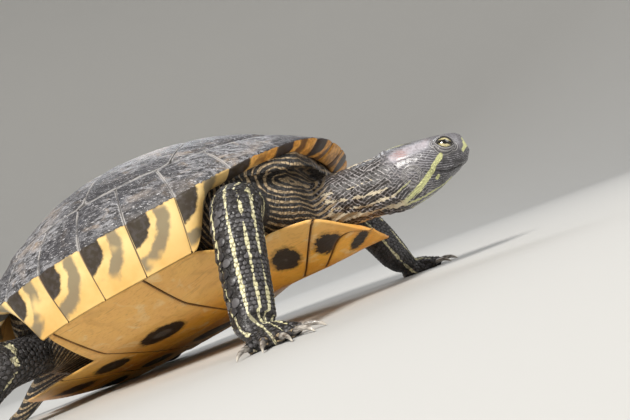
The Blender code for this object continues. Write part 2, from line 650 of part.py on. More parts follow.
def build():
    for old in list(bpy.data.objects):
        bpy.data.objects.remove(old)
    stance = bpy.data.objects.new("stance", None)
    bpy.context.scene.collection.objects.link(stance)
    to_floor_frame = stance_matrix()
    stance.matrix_world = to_floor_frame
    floor = box_cutter("floor", (-0.3, -0.2, -0.05), (0.3, 0.2, 0.0))

    carapace_vertebrals(stance)
    carapace_costals(stance)
    carapace_rim(stance)
    plastron(stance, floor)
    body = trunk(stance)
    trunk_clearance = inflated(body, 2 * GAP)
    neck(stance, trunk_clearance)
    head(stance)
    for name, form in LEGS.items():
        leg(name, form, to_floor_frame, trunk_clearance)
    tail(to_floor_frame, trunk_clearance, floor)


build()
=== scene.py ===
# %% [markdown]
# # A red-eared slider turtle, at life size
# The animal rests with its front raised on its forelegs. It is a domed shell of dark horn plates, a yellow
# lower shell with black blotches, and striped, scaly skin between the two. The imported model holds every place
# and size, so each piece below grows from the same shell form and from the boxes that the frame gives.

# %% Load the fixed frame and keep its box
import math

import bpy
import numpy as np
from mathutils import Matrix, Vector
from mathutils.bvhtree import BVHTree
from mathutils.kdtree import KDTree


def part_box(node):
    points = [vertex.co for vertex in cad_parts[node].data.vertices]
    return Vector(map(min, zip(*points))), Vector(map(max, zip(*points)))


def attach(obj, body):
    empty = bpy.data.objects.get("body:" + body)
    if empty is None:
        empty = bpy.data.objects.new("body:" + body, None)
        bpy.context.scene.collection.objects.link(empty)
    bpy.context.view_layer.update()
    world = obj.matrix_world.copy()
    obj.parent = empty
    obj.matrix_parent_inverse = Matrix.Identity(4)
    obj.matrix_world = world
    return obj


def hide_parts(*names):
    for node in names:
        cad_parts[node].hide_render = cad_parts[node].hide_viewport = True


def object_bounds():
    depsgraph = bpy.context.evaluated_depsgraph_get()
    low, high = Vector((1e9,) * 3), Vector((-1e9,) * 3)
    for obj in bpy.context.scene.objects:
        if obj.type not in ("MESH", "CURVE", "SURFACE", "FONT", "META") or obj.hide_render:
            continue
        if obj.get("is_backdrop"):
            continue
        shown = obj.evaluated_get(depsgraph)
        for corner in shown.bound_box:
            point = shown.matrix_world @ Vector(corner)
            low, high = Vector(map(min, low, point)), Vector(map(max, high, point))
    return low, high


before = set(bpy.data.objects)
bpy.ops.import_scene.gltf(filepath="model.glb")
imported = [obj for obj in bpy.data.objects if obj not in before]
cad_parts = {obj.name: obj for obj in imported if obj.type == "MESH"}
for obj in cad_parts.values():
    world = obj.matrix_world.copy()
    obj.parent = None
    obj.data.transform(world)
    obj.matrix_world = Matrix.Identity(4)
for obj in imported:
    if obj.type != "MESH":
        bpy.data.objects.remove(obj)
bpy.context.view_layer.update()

MM = 0.001
FAR = 9.0                # a distance in millimetres that stands for nowhere near

# %% [markdown]
# ## Curves and noise
# Nearly every shape here is a height or a width that changes smoothly along something, so the first tools are
# a smooth curve through a few points, a soft step from 0 to 1, and a noise that is the same on every run.


# %% Curves
def curve(x, points):
    """A smooth curve of cubic pieces through (place, value) points. The slope at a point is the harmonic mean
    of the slopes beside it, and flat where the values turn."""
    place, value = np.array(points, dtype=float).T
    step = np.diff(place)
    slope = np.diff(value) / step
    tangent = np.concatenate([slope[:1], slope[1:] * 0, slope[-1:]])
    same = slope[:-1] * slope[1:] > 0
    tangent[1:-1] = np.where(same, 2 * slope[:-1] * slope[1:] / np.where(same, slope[:-1] + slope[1:], 1), 0)
    x = np.clip(np.asarray(x, dtype=float), place[0], place[-1])
    i = np.clip(np.searchsorted(place, x, side="right") - 1, 0, len(step) - 1)
    t = (x - place[i]) / step[i]
    return (value[i] * (1 + 2 * t) * (1 - t) ** 2 + tangent[i] * step[i] * t * (1 - t) ** 2
            + value[i + 1] * t ** 2 * (3 - 2 * t) + tangent[i + 1] * step[i] * t ** 2 * (t - 1))


def soft_step(x, low, high):
    """Rises from 0 at low to 1 at high as 3t^2 - 2t^3."""
    t = np.clip((x - low) / (high - low), 0, 1)
    return t * t * (3 - 2 * t)


def hump(x, half_width):
    """A bell of height 1 at 0: e to the minus (x / half_width) squared."""
    return np.exp(-(x / half_width) ** 2)


def unit(arrows):
    """Arrows brought to length 1."""
    return arrows / np.maximum(np.linalg.norm(arrows, axis=-1, keepdims=True), 1e-15)


def heading(turn):
    """A level unit arrow at a turn from X."""
    return np.array((math.cos(turn), math.sin(turn), 0))


# %% Noise that repeats exactly
def lattice_value(i, j, k, seed):
    """A number from 0 to 1 for whole-number places: the places are multiplied by large primes and mixed."""
    mixed = (i * 374761393 + j * 668265263 + k * 1442695041 + seed * 1274126177) & 0xFFFFFFFF
    mixed = ((mixed ^ (mixed >> 13)) * 1274126177) & 0xFFFFFFFF
    return ((mixed ^ (mixed >> 16)) & 0xFFFF) / 65535.0


def noise(points, size, seed=0):
    """Values from -1 to 1: random numbers on a cubic lattice of this cell size, with soft steps between."""
    place = points / np.asarray(size)
    base = np.floor(place).astype(np.int64)
    share = place - base
    share = share * share * (3 - 2 * share)
    total = 0
    for corner in range(8):
        step = np.array((corner & 1, corner >> 1 & 1, corner >> 2 & 1))
        weight = np.where(step, share, 1 - share).prod(axis=-1)
        total = total + weight * lattice_value(*np.moveaxis(base + step, -1, 0), seed)
    return 2 * total - 1


def layered_noise(points, size, layers=3, seed=0):
    """A sum of noises, each with half the cell size and half the height of the one before."""
    return sum(noise(points, np.asarray(size) / 2 ** n, seed + n) / 2 ** n for n in range(layers))


# %% [markdown]
# ## Faces and pieces
# A piece is an array of points and an array of faces with four corners, where a triangle's last corner is -1.
# Grids, rings and closed plates all come from whole arrays, and one function turns the faces outward by the
# sign of the volume they enclose, and puts the arrays into a mesh.


# %% Faces over grids and rings
def grid_faces(rows, columns, wrap=False):
    """Quads over points stored row after row. Wrap joins the last column to the first."""
    i, j = np.meshgrid(np.arange(rows - 1), np.arange(columns if wrap else columns - 1), indexing="ij")
    k = (j + 1) % columns
    corners = (i * columns + j, i * columns + k, (i + 1) * columns + k, (i + 1) * columns + j)
    return np.stack(corners, axis=-1).reshape(-1, 4)


def fan_faces(centre, ring):
    """Triangles from one point to a closed ring of points."""
    ring = np.asarray(ring)
    return np.stack([np.full(len(ring), centre), ring, np.roll(ring, -1), np.full(len(ring), -1)], axis=-1)


def closed_loft(rings, tips=(None, None)):
    """Points and faces of a body through closed rings. Each end is a fan to its tip or the ring's middle."""
    count, sides = rings.shape[:2]
    ends = [rings[0].mean(axis=0) if tips[0] is None else tips[0],
            rings[-1].mean(axis=0) if tips[1] is None else tips[1]]
    points = np.concatenate([rings.reshape(-1, 3), ends])
    first, last = np.arange(sides), (count - 1) * sides + np.arange(sides)
    faces = np.concatenate([grid_faces(count, sides, wrap=True), fan_faces(count * sides, first[::-1]),
                            fan_faces(count * sides + 1, last)])
    return points, faces


def closed_plate(outer, inner):
    """Points and faces of a plate between two matching grids, with a wall round the border."""
    rows, columns = outer.shape[:2]
    count = rows * columns
    grid = np.arange(count).reshape(rows, columns)
    border = np.concatenate([grid[0, :-1], grid[:-1, -1], grid[-1, :0:-1], grid[:0:-1, 0]])
    after = np.roll(border, -1)
    top = grid_faces(rows, columns)
    wall = np.stack([after, border, border + count, after + count], axis=-1)
    return (np.concatenate([outer.reshape(-1, 3), inner.reshape(-1, 3)]),
            np.concatenate([top, top[:, ::-1] + count, wall]))


def joined(parts):
    """One pair of points and faces from several, each part's face numbers moved past the points before it."""
    starts = np.cumsum([0] + [len(points) for points, _ in parts[:-1]])
    faces = [np.where(f >= 0, f + start, -1) for (_, f), start in zip(parts, starts)]
    return np.concatenate([points for points, _ in parts]), np.concatenate(faces)


# %% From arrays to a piece in the scene
def volume_of(points, faces):
    """The enclosed volume: a sixth of the sum of each triangle's corner triple product."""
    a, b, c = (points[faces[:, n]] for n in range(3))
    d = points[np.where(faces[:, 3] >= 0, faces[:, 3], faces[:, 2])]
    total = np.einsum("ij,ij->i", a, np.cross(b, c)) + np.einsum("ij,ij->i", a, np.cross(c, d))
    return total.sum() / 6


def turned_outward(points, faces):
    """The faces as they are, or all turned round if they enclose a negative volume."""
    if volume_of(points, faces) > 0:
        return points, faces
    quads = faces[:, ::-1]
    triangles = np.stack([faces[:, 2], faces[:, 1], faces[:, 0], faces[:, 3]], axis=-1)
    return points, np.where(faces[:, 3:] >= 0, quads, triangles)


def new_mesh(name, points, faces):
    """A mesh filled from whole arrays: places, corner numbers and each face's first corner."""
    mesh = bpy.data.meshes.new(name)
    corners = faces[faces >= 0]
    starts = np.cumsum(np.concatenate([[0], (faces >= 0).sum(axis=1)[:-1]]))
    mesh.vertices.add(len(points))
    mesh.vertices.foreach_set("co", points.astype(np.float32).ravel())
    mesh.loops.add(len(corners))
    mesh.loops.foreach_set("vertex_index", corners.astype(np.int32))
    mesh.polygons.add(len(faces))
    mesh.polygons.foreach_set("loop_start", starts.astype(np.int32))
    mesh.update(calc_edges=True)
    mesh.shade_smooth()
    return mesh


def in_scene(name, data):
    """A new object of some data, linked to the scene."""
    made = bpy.data.objects.new(name, data)
    bpy.context.scene.collection.objects.link(made)
    return made


def read_all(items, name, width=1, kind=int):
    """One property of every item of a mesh, as an array."""
    values = np.zeros(len(items) * width, kind)
    items.foreach_get(name, values)
    return values


piece_sizes = {}


def piece(name, shape, finish, replaced=(), marks=None, crease=None, unwrap=None):
    """Puts (points, faces) in the scene as one piece on the root body, with marks as values at its points."""
    mesh = new_mesh(name, *shape)
    for mark, values in (marks or {}).items():
        held = mesh.attributes.new(mark, "FLOAT", "POINT")
        held.data.foreach_set("value", np.asarray(values, dtype=np.float32).ravel())
    if unwrap is not None:
        corners = read_all(mesh.loops, "vertex_index")
        mesh.uv_layers.new(name="OFBake").data.foreach_set("uv", unwrap[corners].astype(np.float32).ravel())
    if crease is not None:
        mesh.set_sharp_from_angle(angle=math.radians(crease))
    mesh.materials.append(finish)
    made = in_scene(name, mesh)
    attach(made, "root")
    if replaced:
        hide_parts(*replaced)
    piece_sizes[name] = int(((shape[1] >= 0).sum(axis=1) - 2).sum())


# %% [markdown]
# ## Stage, light and camera
# The animal sits on a pale studio bowl: a flat floor that curves up into a wall, so no horizon shows from any
# side. The light is soft: a lamp high on the camera's side, weaker ones from the head's side and from behind,
# and a pale world. The camera looks slightly up from just above the floor, leaning so that the animal climbs
# to the right.

# %% The studio bowl
BOWL_FLOOR, BOWL_CURVE, BOWL_WALL = 1.3, 1.2, 1.6    # flat radius, radius of the curve, height of the wall
BOWL_SIDES = 96


def bowl():
    """A turned profile: flat floor, quarter circle and straight wall, in steps round the upright axis."""
    bend = np.linspace(0, math.pi / 2, 25)
    r = np.concatenate([np.linspace(0.02, BOWL_FLOOR, 12)[:-1], BOWL_FLOOR + BOWL_CURVE * np.sin(bend),
                        [BOWL_FLOOR + BOWL_CURVE]])
    z = np.concatenate([np.zeros(11), BOWL_CURVE * (1 - np.cos(bend)), [BOWL_CURVE + BOWL_WALL]])
    turn = np.linspace(0, 2 * math.pi, BOWL_SIDES, endpoint=False)
    points = np.stack([r[:, None] * np.cos(turn), r[:, None] * np.sin(turn),
                       np.broadcast_to(z[:, None], (len(r), BOWL_SIDES))], axis=-1)
    points = np.concatenate([points.reshape(-1, 3), [(0, 0, 0)]])
    faces = np.concatenate([grid_faces(len(r), BOWL_SIDES, wrap=True),
                            fan_faces(len(r) * BOWL_SIDES, np.arange(BOWL_SIDES)[::-1])])
    return points, faces


def stage_finish():
    """Matt pale paper."""
    finish = bpy.data.materials.new("pale_paper")
    finish.use_nodes = True
    shader = finish.node_tree.nodes["Principled BSDF"]
    shader.inputs["Base Color"].default_value = (0.52, 0.515, 0.50, 1)
    shader.inputs["Roughness"].default_value = 0.9
    return finish


studio = in_scene("studio_bowl", new_mesh("studio_bowl", *bowl()))
studio.data.materials.append(stage_finish())
studio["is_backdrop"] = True


# %% Soft lamps and a pale world
LAMP_TARGET = (0.02, 0.0, 0.06)


def soft_lamp(name, place, size, power, tint=(1, 1, 1)):
    """A square area lamp turned towards the animal."""
    lamp = bpy.data.lights.new(name, "AREA")
    lamp.shape = "SQUARE"
    lamp.size = size
    lamp.energy = power
    lamp.color = tint
    stand = in_scene(name, lamp)
    stand.location = place
    stand.rotation_euler = (Vector(LAMP_TARGET) - Vector(place)).to_track_quat("-Z", "Y").to_euler()


soft_lamp("key_lamp", (-0.10, -1.62, 1.36), 0.50, 56, (1.0, 0.97, 0.92))
soft_lamp("head_lamp", (1.4, -0.2, 0.9), 0.9, 7)
soft_lamp("back_lamp", (-0.5, 1.1, 1.2), 0.8, 10, (0.93, 0.96, 1.0))
world = bpy.data.worlds.new("pale_world")
world.use_nodes = True
world.node_tree.nodes["Background"].inputs["Color"].default_value = (0.95, 0.97, 1.0, 1)
world.node_tree.nodes["Background"].inputs["Strength"].default_value = 0.27
bpy.context.scene.world = world
bpy.context.scene.view_settings.view_transform = "Standard"

# %% The camera
CAMERA_PLACE = (0.1659, -0.3315, 0.0185)
CAMERA_YAW, CAMERA_PITCH, CAMERA_ROLL = (math.radians(v) for v in (14.26, -5.99, 20.62))
CAMERA_LENS = 35.76


def camera_matrix():
    """Back, right and up as arrows from yaw and pitch. The roll turns the last two about the view."""
    back = np.array((math.sin(CAMERA_YAW) * math.cos(CAMERA_PITCH),
                     -math.cos(CAMERA_YAW) * math.cos(CAMERA_PITCH),
                     math.sin(CAMERA_PITCH)))
    level = heading(CAMERA_YAW)
    upright = np.cross(back, level)
    right = math.cos(CAMERA_ROLL) * level - math.sin(CAMERA_ROLL) * upright
    up = math.sin(CAMERA_ROLL) * level + math.cos(CAMERA_ROLL) * upright
    return Matrix.Translation(CAMERA_PLACE) @ Matrix(np.stack([right, up, back], axis=1).tolist()).to_4x4()


lens = bpy.data.cameras.new("camera")
lens.lens = CAMERA_LENS
lens.sensor_width = 36
lens.clip_start = 0.01
viewer = in_scene("camera", lens)
viewer.matrix_world = camera_matrix()
bpy.context.scene.camera = viewer
print("camera looks along", [round(-v, 3) for v in viewer.matrix_world.col[2][:3]])

# %% [markdown]
# ## A bench for finishes
# A finish is a tree of nodes. These short methods each add one node and wire it, so that a finish below reads
# as a recipe: a noise, a ramp from it, a blend of two colours, a bump. Every pattern reads Object coordinates
# or a mark stored at the piece's points, so it stays on the piece from every side.


# %% The bench
class Bench:
    """A material under construction: its node tree, its shader, and the piece's own place as coordinates."""

    def __init__(self, name, roughness=0.5):
        self.material = bpy.data.materials.new(name)
        self.material.use_nodes = True
        self.tree = self.material.node_tree
        self.shader = self.tree.nodes["Principled BSDF"]
        self.shader.inputs["Roughness"].default_value = roughness
        self.place = self.tree.nodes.new("ShaderNodeTexCoord").outputs["Object"]

    def wire(self, socket, value):
        """Links an output to a socket, or sets the socket's own value."""
        if isinstance(value, bpy.types.NodeSocket):
            self.tree.links.new(value, socket)
        elif isinstance(value, tuple) and len(value) == 3 and socket.type == "RGBA":
            socket.default_value = (*value, 1)
        else:
            socket.default_value = value

    def node(self, kind, inputs, **settings):
        """Adds a node of a kind, with its settings and the values or links of its inputs."""
        made = self.tree.nodes.new("ShaderNode" + kind)
        for setting, value in settings.items():
            setattr(made, setting, value)
        for socket, value in inputs.items():
            self.wire(made.inputs[socket], value)
        return made

    def stretched(self, scale, turn=(0, 0, 0)):
        """Coordinates scaled and turned by a Mapping node."""
        inputs = {"Vector": self.place, "Scale": scale, "Rotation": turn}
        return self.node("Mapping", inputs).outputs["Vector"]

    def noise(self, scale, detail=3.0, place=None, distortion=0.0, rough=0.55):
        inputs = {"Vector": place or self.place, "Scale": scale, "Detail": detail, "Distortion": distortion,
                  "Roughness": rough}
        return self.node("TexNoise", inputs).outputs["Fac"]

    def cell_edges(self, scale):
        """Distance from the nearest border between cells."""
        inputs = {"Vector": self.place, "Scale": scale}
        return self.node("TexVoronoi", inputs, feature="DISTANCE_TO_EDGE").outputs["Distance"]

    def math(self, operation, a, b=0.0):
        return self.node("Math", {0: a, 1: b}, operation=operation).outputs[0]

    def plus(self, a, b):
        return self.math("ADD", a, b)

    def times(self, a, b):
        return self.math("MULTIPLY", a, b)

    def ragged(self, value, pattern, amount):
        """A value moved to both sides by a pattern, so that a border drawn from it turns ragged."""
        return self.plus(value, self.times(self.math("SUBTRACT", pattern, 0.5), amount))

    def between(self, share, a, b):
        """A number that runs from a to b with the share."""
        return self.node("Mix", {"Factor": share, 2: a, 3: b}).outputs[0]

    def step(self, value, low, high, start=0.0, end=1.0):
        """A soft step of a value, from start at low to end at high."""
        inputs = {"Value": value, "From Min": low, "From Max": high, "To Min": start, "To Max": end}
        return self.node("MapRange", inputs, interpolation_type="SMOOTHSTEP").outputs["Result"]

    def mark(self, name):
        return self.node("Attribute", {}, attribute_name=name).outputs["Fac"]

    def blend(self, share, a, b):
        """Two colours mixed by a share."""
        made = self.tree.nodes.new("ShaderNodeMix")
        made.data_type = "RGBA"
        for socket, value in ((made.inputs["Factor"], share), (made.inputs[6], a), (made.inputs[7], b)):
            self.wire(socket, value)
        return made.outputs[2]

    def tinted(self, colour, *tints):
        """A colour with tints laid over it in turn. Each is (value, low, high, share, tint): it covers that
        share where the value is past high, and nothing where it is short of low."""
        for value, low, high, share, tint in tints:
            colour = self.blend(self.step(value, low, high, 0, share), colour, tint)
        return colour

    def bump(self, height, distance, strength):
        inputs = {"Height": height, "Distance": distance, "Strength": strength}
        return self.node("Bump", inputs).outputs["Normal"]

    def done(self, **sockets):
        """Wires the shader's sockets, named with _ for a space, and gives back the material."""
        for name, value in sockets.items():
            self.wire(self.shader.inputs[name.replace("_", " ")], value)
        return self.material


# %% [markdown]
# ## The shell's form
# The shell is drawn lying level: X from tail to head, Y to the animal's left, the origin on the flat
# underside. Seen from above, its outline is a power curve. Smaller copies of that outline are its levels:
# level 1 is the rim, level 0 the crown. The dome's height falls from crown to rim with the level. A tilt then
# leans it as it rests.

# %% Sizes of the shell
SHELL_LENGTH = 0.240
SHELL_WIDTH = 0.181
DOME_RISE = 0.060
EDGE_HEIGHT, FRONT_LIFT, REAR_DROP = 0.0405, 0.0140, 0.0060
PLATE = 0.0038                                     # a horn plate with the bone under it
HALF = SHELL_LENGTH / 2
MARGIN_LEVEL = 0.70                                # the seam between the dome's plates and the rim's
UNDERSIDE_LEVEL = 0.80                             # where the rim's underside ends
BRIDGE_FRONT, BRIDGE_BACK, BRIDGE_DROP = 0.205, -0.155, 0.024


def plan_scale(x):
    """Half the width of the outline: 7 percent more at the tail and 7 percent less at the front."""
    return SHELL_WIDTH / 2 * (1 - 0.07 * x / HALF)


def level_width(x, level):
    """Half width of a level's outline: (level - (x / half length) squared) to the power 0.4."""
    return plan_scale(x) * np.maximum(level - (x / HALF) ** 2, 0) ** 0.4


def level_point(level, turn):
    """A point of a level's outline, turned from the front (0) to the tail (pi)."""
    x = HALF * np.sqrt(level) * np.cos(turn)
    return x, plan_scale(x) * (level * np.sin(turn) ** 2) ** 0.4


def level_at(x, y):
    return (x / HALF) ** 2 + (np.abs(y) / plan_scale(x)) ** 2.5


def edge_height(x):
    ahead, behind = np.maximum(x / HALF, 0), np.maximum(-x / HALF, 0)
    return EDGE_HEIGHT + FRONT_LIFT * ahead ** 2.2 - REAR_DROP * behind ** 2


def dome(x, y):
    """Height of the carapace: (1 - level^1.1) to a power that eases the slope over the neck and the tail."""
    level = np.clip(level_at(x, y), 1e-9, 1)
    along = np.clip((x / HALF) ** 2 / level, 0, 1)
    return edge_height(x) + DOME_RISE * (1 - level ** 1.1) ** (0.78 + along * np.where(x > 0, 0.30, 0.22))


def bridge_share(x):
    """One along the bridge between the two shells, nothing beyond its ends."""
    return (soft_step(x, (BRIDGE_BACK - 0.06) * SHELL_LENGTH, BRIDGE_BACK * SHELL_LENGTH)
            * (1 - soft_step(x, BRIDGE_FRONT * SHELL_LENGTH, (BRIDGE_FRONT + 0.07) * SHELL_LENGTH)))


def underside_edge(turn):
    """The inner edge of the rim's underside, on the animal's left."""
    x, y = level_point(UNDERSIDE_LEVEL, turn)
    return x, y, edge_height(x) - 0.0015 - BRIDGE_DROP * bridge_share(x)


def slope_arrow(surface, x, y):
    """The upward arrow square to a height surface, from its slopes across a tenth of a millimetre."""
    h = 1e-4
    slope_x = (surface(x + h, y) - surface(x - h, y)) / (2 * h)
    slope_y = (surface(x, y + h) - surface(x, y - h)) / (2 * h)
    return unit(np.stack([-slope_x, -slope_y, np.ones_like(slope_x)], axis=-1))


def above(surface, x, y, lift):
    """Points that stand off a height surface by a lift along its upward arrow. A negative lift is a depth."""
    base = np.stack([x, y, surface(x, y)], axis=-1)
    return base + slope_arrow(surface, x, y) * np.asarray(lift)[..., None]


# %% The tilt, and the height that the frame gives
TILT_BACK, TILT_ASIDE = math.radians(-7.5), math.radians(-9.0)
TILT = np.array(Matrix.Rotation(TILT_BACK, 3, "Y") @ Matrix.Rotation(TILT_ASIDE, 3, "X"))
crown_x, crown_y = np.meshgrid(np.linspace(-HALF, HALF, 241), np.linspace(-0.09, 0.09, 181), indexing="ij")
crown_points = np.stack([crown_x, crown_y, dome(crown_x, crown_y)], axis=-1) @ TILT.T
SHELL_PLACE = np.array((-0.0068, 0.0012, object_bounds()[1].z - crown_points[..., 2].max()))


def placed(points):
    """Points of the level shell as they stand on the resting animal."""
    return points @ TILT.T + SHELL_PLACE


def placed_lengths(lengths):
    """The same for places given in shell lengths."""
    return placed(np.array(lengths) * SHELL_LENGTH)


def in_mm(lengths):
    """Millimetres from shell lengths."""
    return lengths * SHELL_LENGTH / MM


def shell_frame(points):
    """The other way: points of the resting animal as they lie in the level shell."""
    return (points - SHELL_PLACE) @ TILT


print("the shell's origin stands at", SHELL_PLACE.round(4))

# %% [markdown]
# ## The carapace's plates
# Thirteen horn plates cover the dome: five down the back and four down each flank, with one small plate over
# the neck. The plates of the back are six-sided, so the line between back and flank zigzags. A flat texture
# would lose the seams and growth lines at the edge of the shell, so each plate is a fine grid on the dome,
# with its seam grooves, growth outlines and long fine wrinkles in the mesh.

# %% Where the seams run
BACK_SEAMS = (0.310, 0.125, -0.090, -0.290)          # across the back, in shell lengths
FLANK_SEAMS = (0.215, 0.020, -0.190)                 # down the flanks
BACK_HALF = ((-0.46, 0.108), (-0.42, 0.112), (-0.29, 0.100), (-0.19, 0.122), (-0.09, 0.100), (0.02, 0.124),
             (0.125, 0.100), (0.215, 0.124), (0.31, 0.104), (0.40, 0.112), (0.46, 0.108))
SEAM_GAP = 0.00012
SEAM_BLEND = 0.0012                                  # how softly the seams' distances meet in a corner
GRID_STEP = 0.0007


def back_side(x):
    """Half width of the row down the back: straight lines between the corners of its plates."""
    return np.interp(x / SHELL_LENGTH, *np.array(BACK_HALF).T) * SHELL_LENGTH


def edge_distance(x, y):
    """For a grid of points, how far each is from the grid's four sides, along the grid's own lines."""
    along = np.hypot(np.diff(x, axis=0), np.diff(y, axis=0))
    across = np.hypot(np.diff(x, axis=1), np.diff(y, axis=1))
    down = np.concatenate([np.zeros((1, x.shape[1])), np.cumsum(along, axis=0)])
    over = np.concatenate([np.zeros((x.shape[0], 1)), np.cumsum(across, axis=1)], axis=1)
    return down, down[-1:] - down, over, over[:, -1:] - over


def plate_relief(x, y, heart, seed):
    """Height of a plate's surface over the dome, the distance to its seams, and its growth outlines.
    The outlines are nested copies of the plate's border round its heart, the place where growth began. Each
    seam is a groove shaped like a bell, and long wrinkles come from a noise stretched lengthwise."""
    ahead, behind, inner, outer = edge_distance(x, y)
    seam = -np.log(sum(np.exp(-d / SEAM_BLEND) for d in (ahead, behind, inner, outer))) * SEAM_BLEND
    seam = np.maximum(seam, 0)
    u, v = ahead / (ahead + behind), inner / (inner + outer)
    away_u = np.where(u < heart[0], (heart[0] - u) / heart[0], (u - heart[0]) / (1 - heart[0]))
    away_v = np.where(v < heart[1], (heart[1] - v) / heart[1], (v - heart[1]) / (1 - heart[1]))
    growth = (away_u ** 5 + away_v ** 5) ** 0.2
    flat = np.stack([x, y, np.zeros_like(x)], axis=-1)
    wander = layered_noise(flat, 0.012, 3, seed)
    rings = np.sin(2 * math.pi * (growth * 7.5 + 0.35 * wander)) * soft_step(growth, 0.25, 0.6)
    wrinkle = layered_noise(flat, (0.009, 0.0016, 1), 3, seed + 5)
    pits = noise(flat, 0.0022, seed + 9)
    relief = (0.00050 * soft_step(seam, 0, 0.006) - 0.00060 * hump(seam, 0.0007)
              + 0.00011 * rings + 0.00016 * wrinkle + 0.00006 * pits + 0.00025 * wander - 0.00035)
    return relief, seam, growth


horn_marks = {}


def carapace_plate(name, x, y, heart, seed, keel=0.0):
    """One horn plate: the dome with its relief above, and the same grid a plate's thickness below."""
    relief, seam, growth = plate_relief(x, y, heart, seed)
    relief = relief + keel * hump(y, 0.0035)
    outer = placed(above(dome, x, y, relief))
    inner = placed(above(dome, x, y, np.full(x.shape, -PLATE)))
    shape = turned_outward(*closed_plate(outer, inner))
    marks = {"seam": np.tile(seam.ravel() / MM, 2), "growth": np.tile(growth.ravel(), 2)}
    horn_marks[name] = (shape, marks)


# %% The row down the back
def steps_for(length):
    return max(int(length / GRID_STEP), 8)


def back_plates():
    """Five plates between the zigzag sides. The first and last end on the rim's seam."""
    margin = 0.112 * SHELL_LENGTH
    columns = steps_for(0.22 * SHELL_LENGTH)
    across = np.linspace(-1, 1, columns)
    bow = 0.0012 * np.cos(across * 4)
    reach = HALF * np.sqrt(MARGIN_LEVEL - (np.abs(across) * margin / plan_scale(0.8 * HALF)) ** 2.5)
    for number in range(5):
        front = BACK_SEAMS[number - 1] * SHELL_LENGTH + bow if number else reach
        back = BACK_SEAMS[number] * SHELL_LENGTH + bow if number < 4 else -reach
        rows = steps_for(front.max() - back.min())
        share = np.linspace(0, 1, rows)[:, None]
        x = (front - SEAM_GAP) * (1 - share) + (back + SEAM_GAP) * share
        y = across * (back_side(x) - SEAM_GAP)
        carapace_plate(f"vertebral_{number + 1}", x, y, (0.62, 0.5), 20 + number, keel=0.00045)


# %% The flanks
def flank_tip(sign):
    """Where the rim's seam meets the side of the row down the back."""
    x = np.linspace(0.30, 0.5, 4001) * sign * SHELL_LENGTH
    return x[np.argmin(np.abs(level_width(x, MARGIN_LEVEL) - back_side(x) - 0.003))]


def flank_plates():
    """Four plates on each side, from the zigzag line out to the rim's seam."""
    ends = [flank_tip(1)] + [s * SHELL_LENGTH for s in FLANK_SEAMS] + [flank_tip(-1)]
    for side, sign in (("left", 1), ("right", -1)):
        for number, (front, back) in enumerate(zip(ends[:-1], ends[1:]), start=1):
            rows, columns = steps_for(front - back), steps_for(0.058)
            share = np.linspace(0, 1, columns)[None, :]
            bow = 0.0016 * np.sin(math.pi * share) * np.array([number > 1, number < 4])[:, None]
            ahead, behind = front - SEAM_GAP + bow[0], back + SEAM_GAP + bow[1]
            down = np.linspace(0, 1, rows)[:, None]
            x = ahead * (1 - down) + behind * down
            inner, outer = back_side(x) + SEAM_GAP, level_width(x, MARGIN_LEVEL) - SEAM_GAP
            y = sign * (inner * (1 - share) + outer * share)
            carapace_plate(f"costal_{side}_{number}", x, y, (0.60, 0.30), 40 + 10 * number + (side == "left"))


back_plates()
flank_plates()
print("plates worked out:", len(horn_marks))


# %% [markdown]
# ### The carapace's horn
# Dry horn on an old slider is dark olive-grey with a chalky bloom. Pale, broken streaks follow the wrinkles,
# tan stains lie in patches, the seams are thin pale lines with a dark edge, and the bump carries what is
# finer than the mesh. The colour comes from noises at six scales, and the marks bring in the seams and growth
# outlines.

# %% Finish of the carapace
def weathered_horn(b, seam, growth):
    """Colour, roughness and bump height of old, chalky horn, for a bench and its marks."""
    lengthwise = b.stretched((1, 5, 3))
    patches = b.noise(30, 4, distortion=0.8)
    stains = b.noise(75, 4, place=b.stretched((1, 2, 1.5)), distortion=1.0)
    streaks = b.noise(150, 5, place=lengthwise, distortion=0.5, rough=0.68)
    specks = b.noise(900, 3, rough=0.7)
    chalk = b.noise(420, 4, place=lengthwise, rough=0.75)
    colour = b.blend(b.step(streaks, 0.42, 0.59), (0.020, 0.019, 0.021), (0.245, 0.243, 0.258))
    colour = b.tinted(
        colour, (patches, 0.52, 0.66, 0.60, (0.33, 0.275, 0.235)),
        (stains, 0.56, 0.68, 0.50, (0.36, 0.27, 0.19)),
        (patches, 0.49, 0.37, 0.85, (0.030, 0.028, 0.033)))
    shade = b.noise(15, 3, distortion=1.2)
    colour = b.tinted(
        colour, (shade, 0.48, 0.58, 0.74, (0.026, 0.025, 0.029)),
        (stains, 0.45, 0.31, 0.75, (0.045, 0.047, 0.058)),
        (chalk, 0.56, 0.66, 0.86, (0.64, 0.63, 0.65)),
        (specks, 0.56, 0.72, 0.45, (0.42, 0.40, 0.39)),
        (specks, 0.44, 0.30, 0.60, (0.020, 0.019, 0.020)))
    ring = b.math("ABSOLUTE", b.math("SINE", b.times(growth, 24.0)))
    colour = b.tinted(colour, (ring, 0.20, 0.0, 0.50, (0.030, 0.027, 0.028)))
    wander = b.ragged(seam, streaks, 1.3)
    colour = b.blend(b.times(b.step(wander, 0.95, 0.55), b.step(stains, 0.35, 0.6, 0.15, 0.75)), colour,
                     (0.42, 0.40, 0.385))
    colour = b.tinted(colour, (seam, 0.40, 0.12, 0.85, (0.035, 0.030, 0.028)))
    rough = b.step(b.plus(streaks, b.times(specks, 0.4)), 0.45, 0.9, 0.40, 0.66)
    return colour, rough, b.plus(streaks, b.times(specks, 0.5))


def carapace_horn():
    b = Bench("carapace_horn")
    colour, rough, height = weathered_horn(b, b.mark("seam"), b.mark("growth"))
    return b.done(Base_Color=colour, Roughness=rough, Normal=b.bump(height, 0.00055, 0.9),
                  Specular_IOR_Level=0.32)


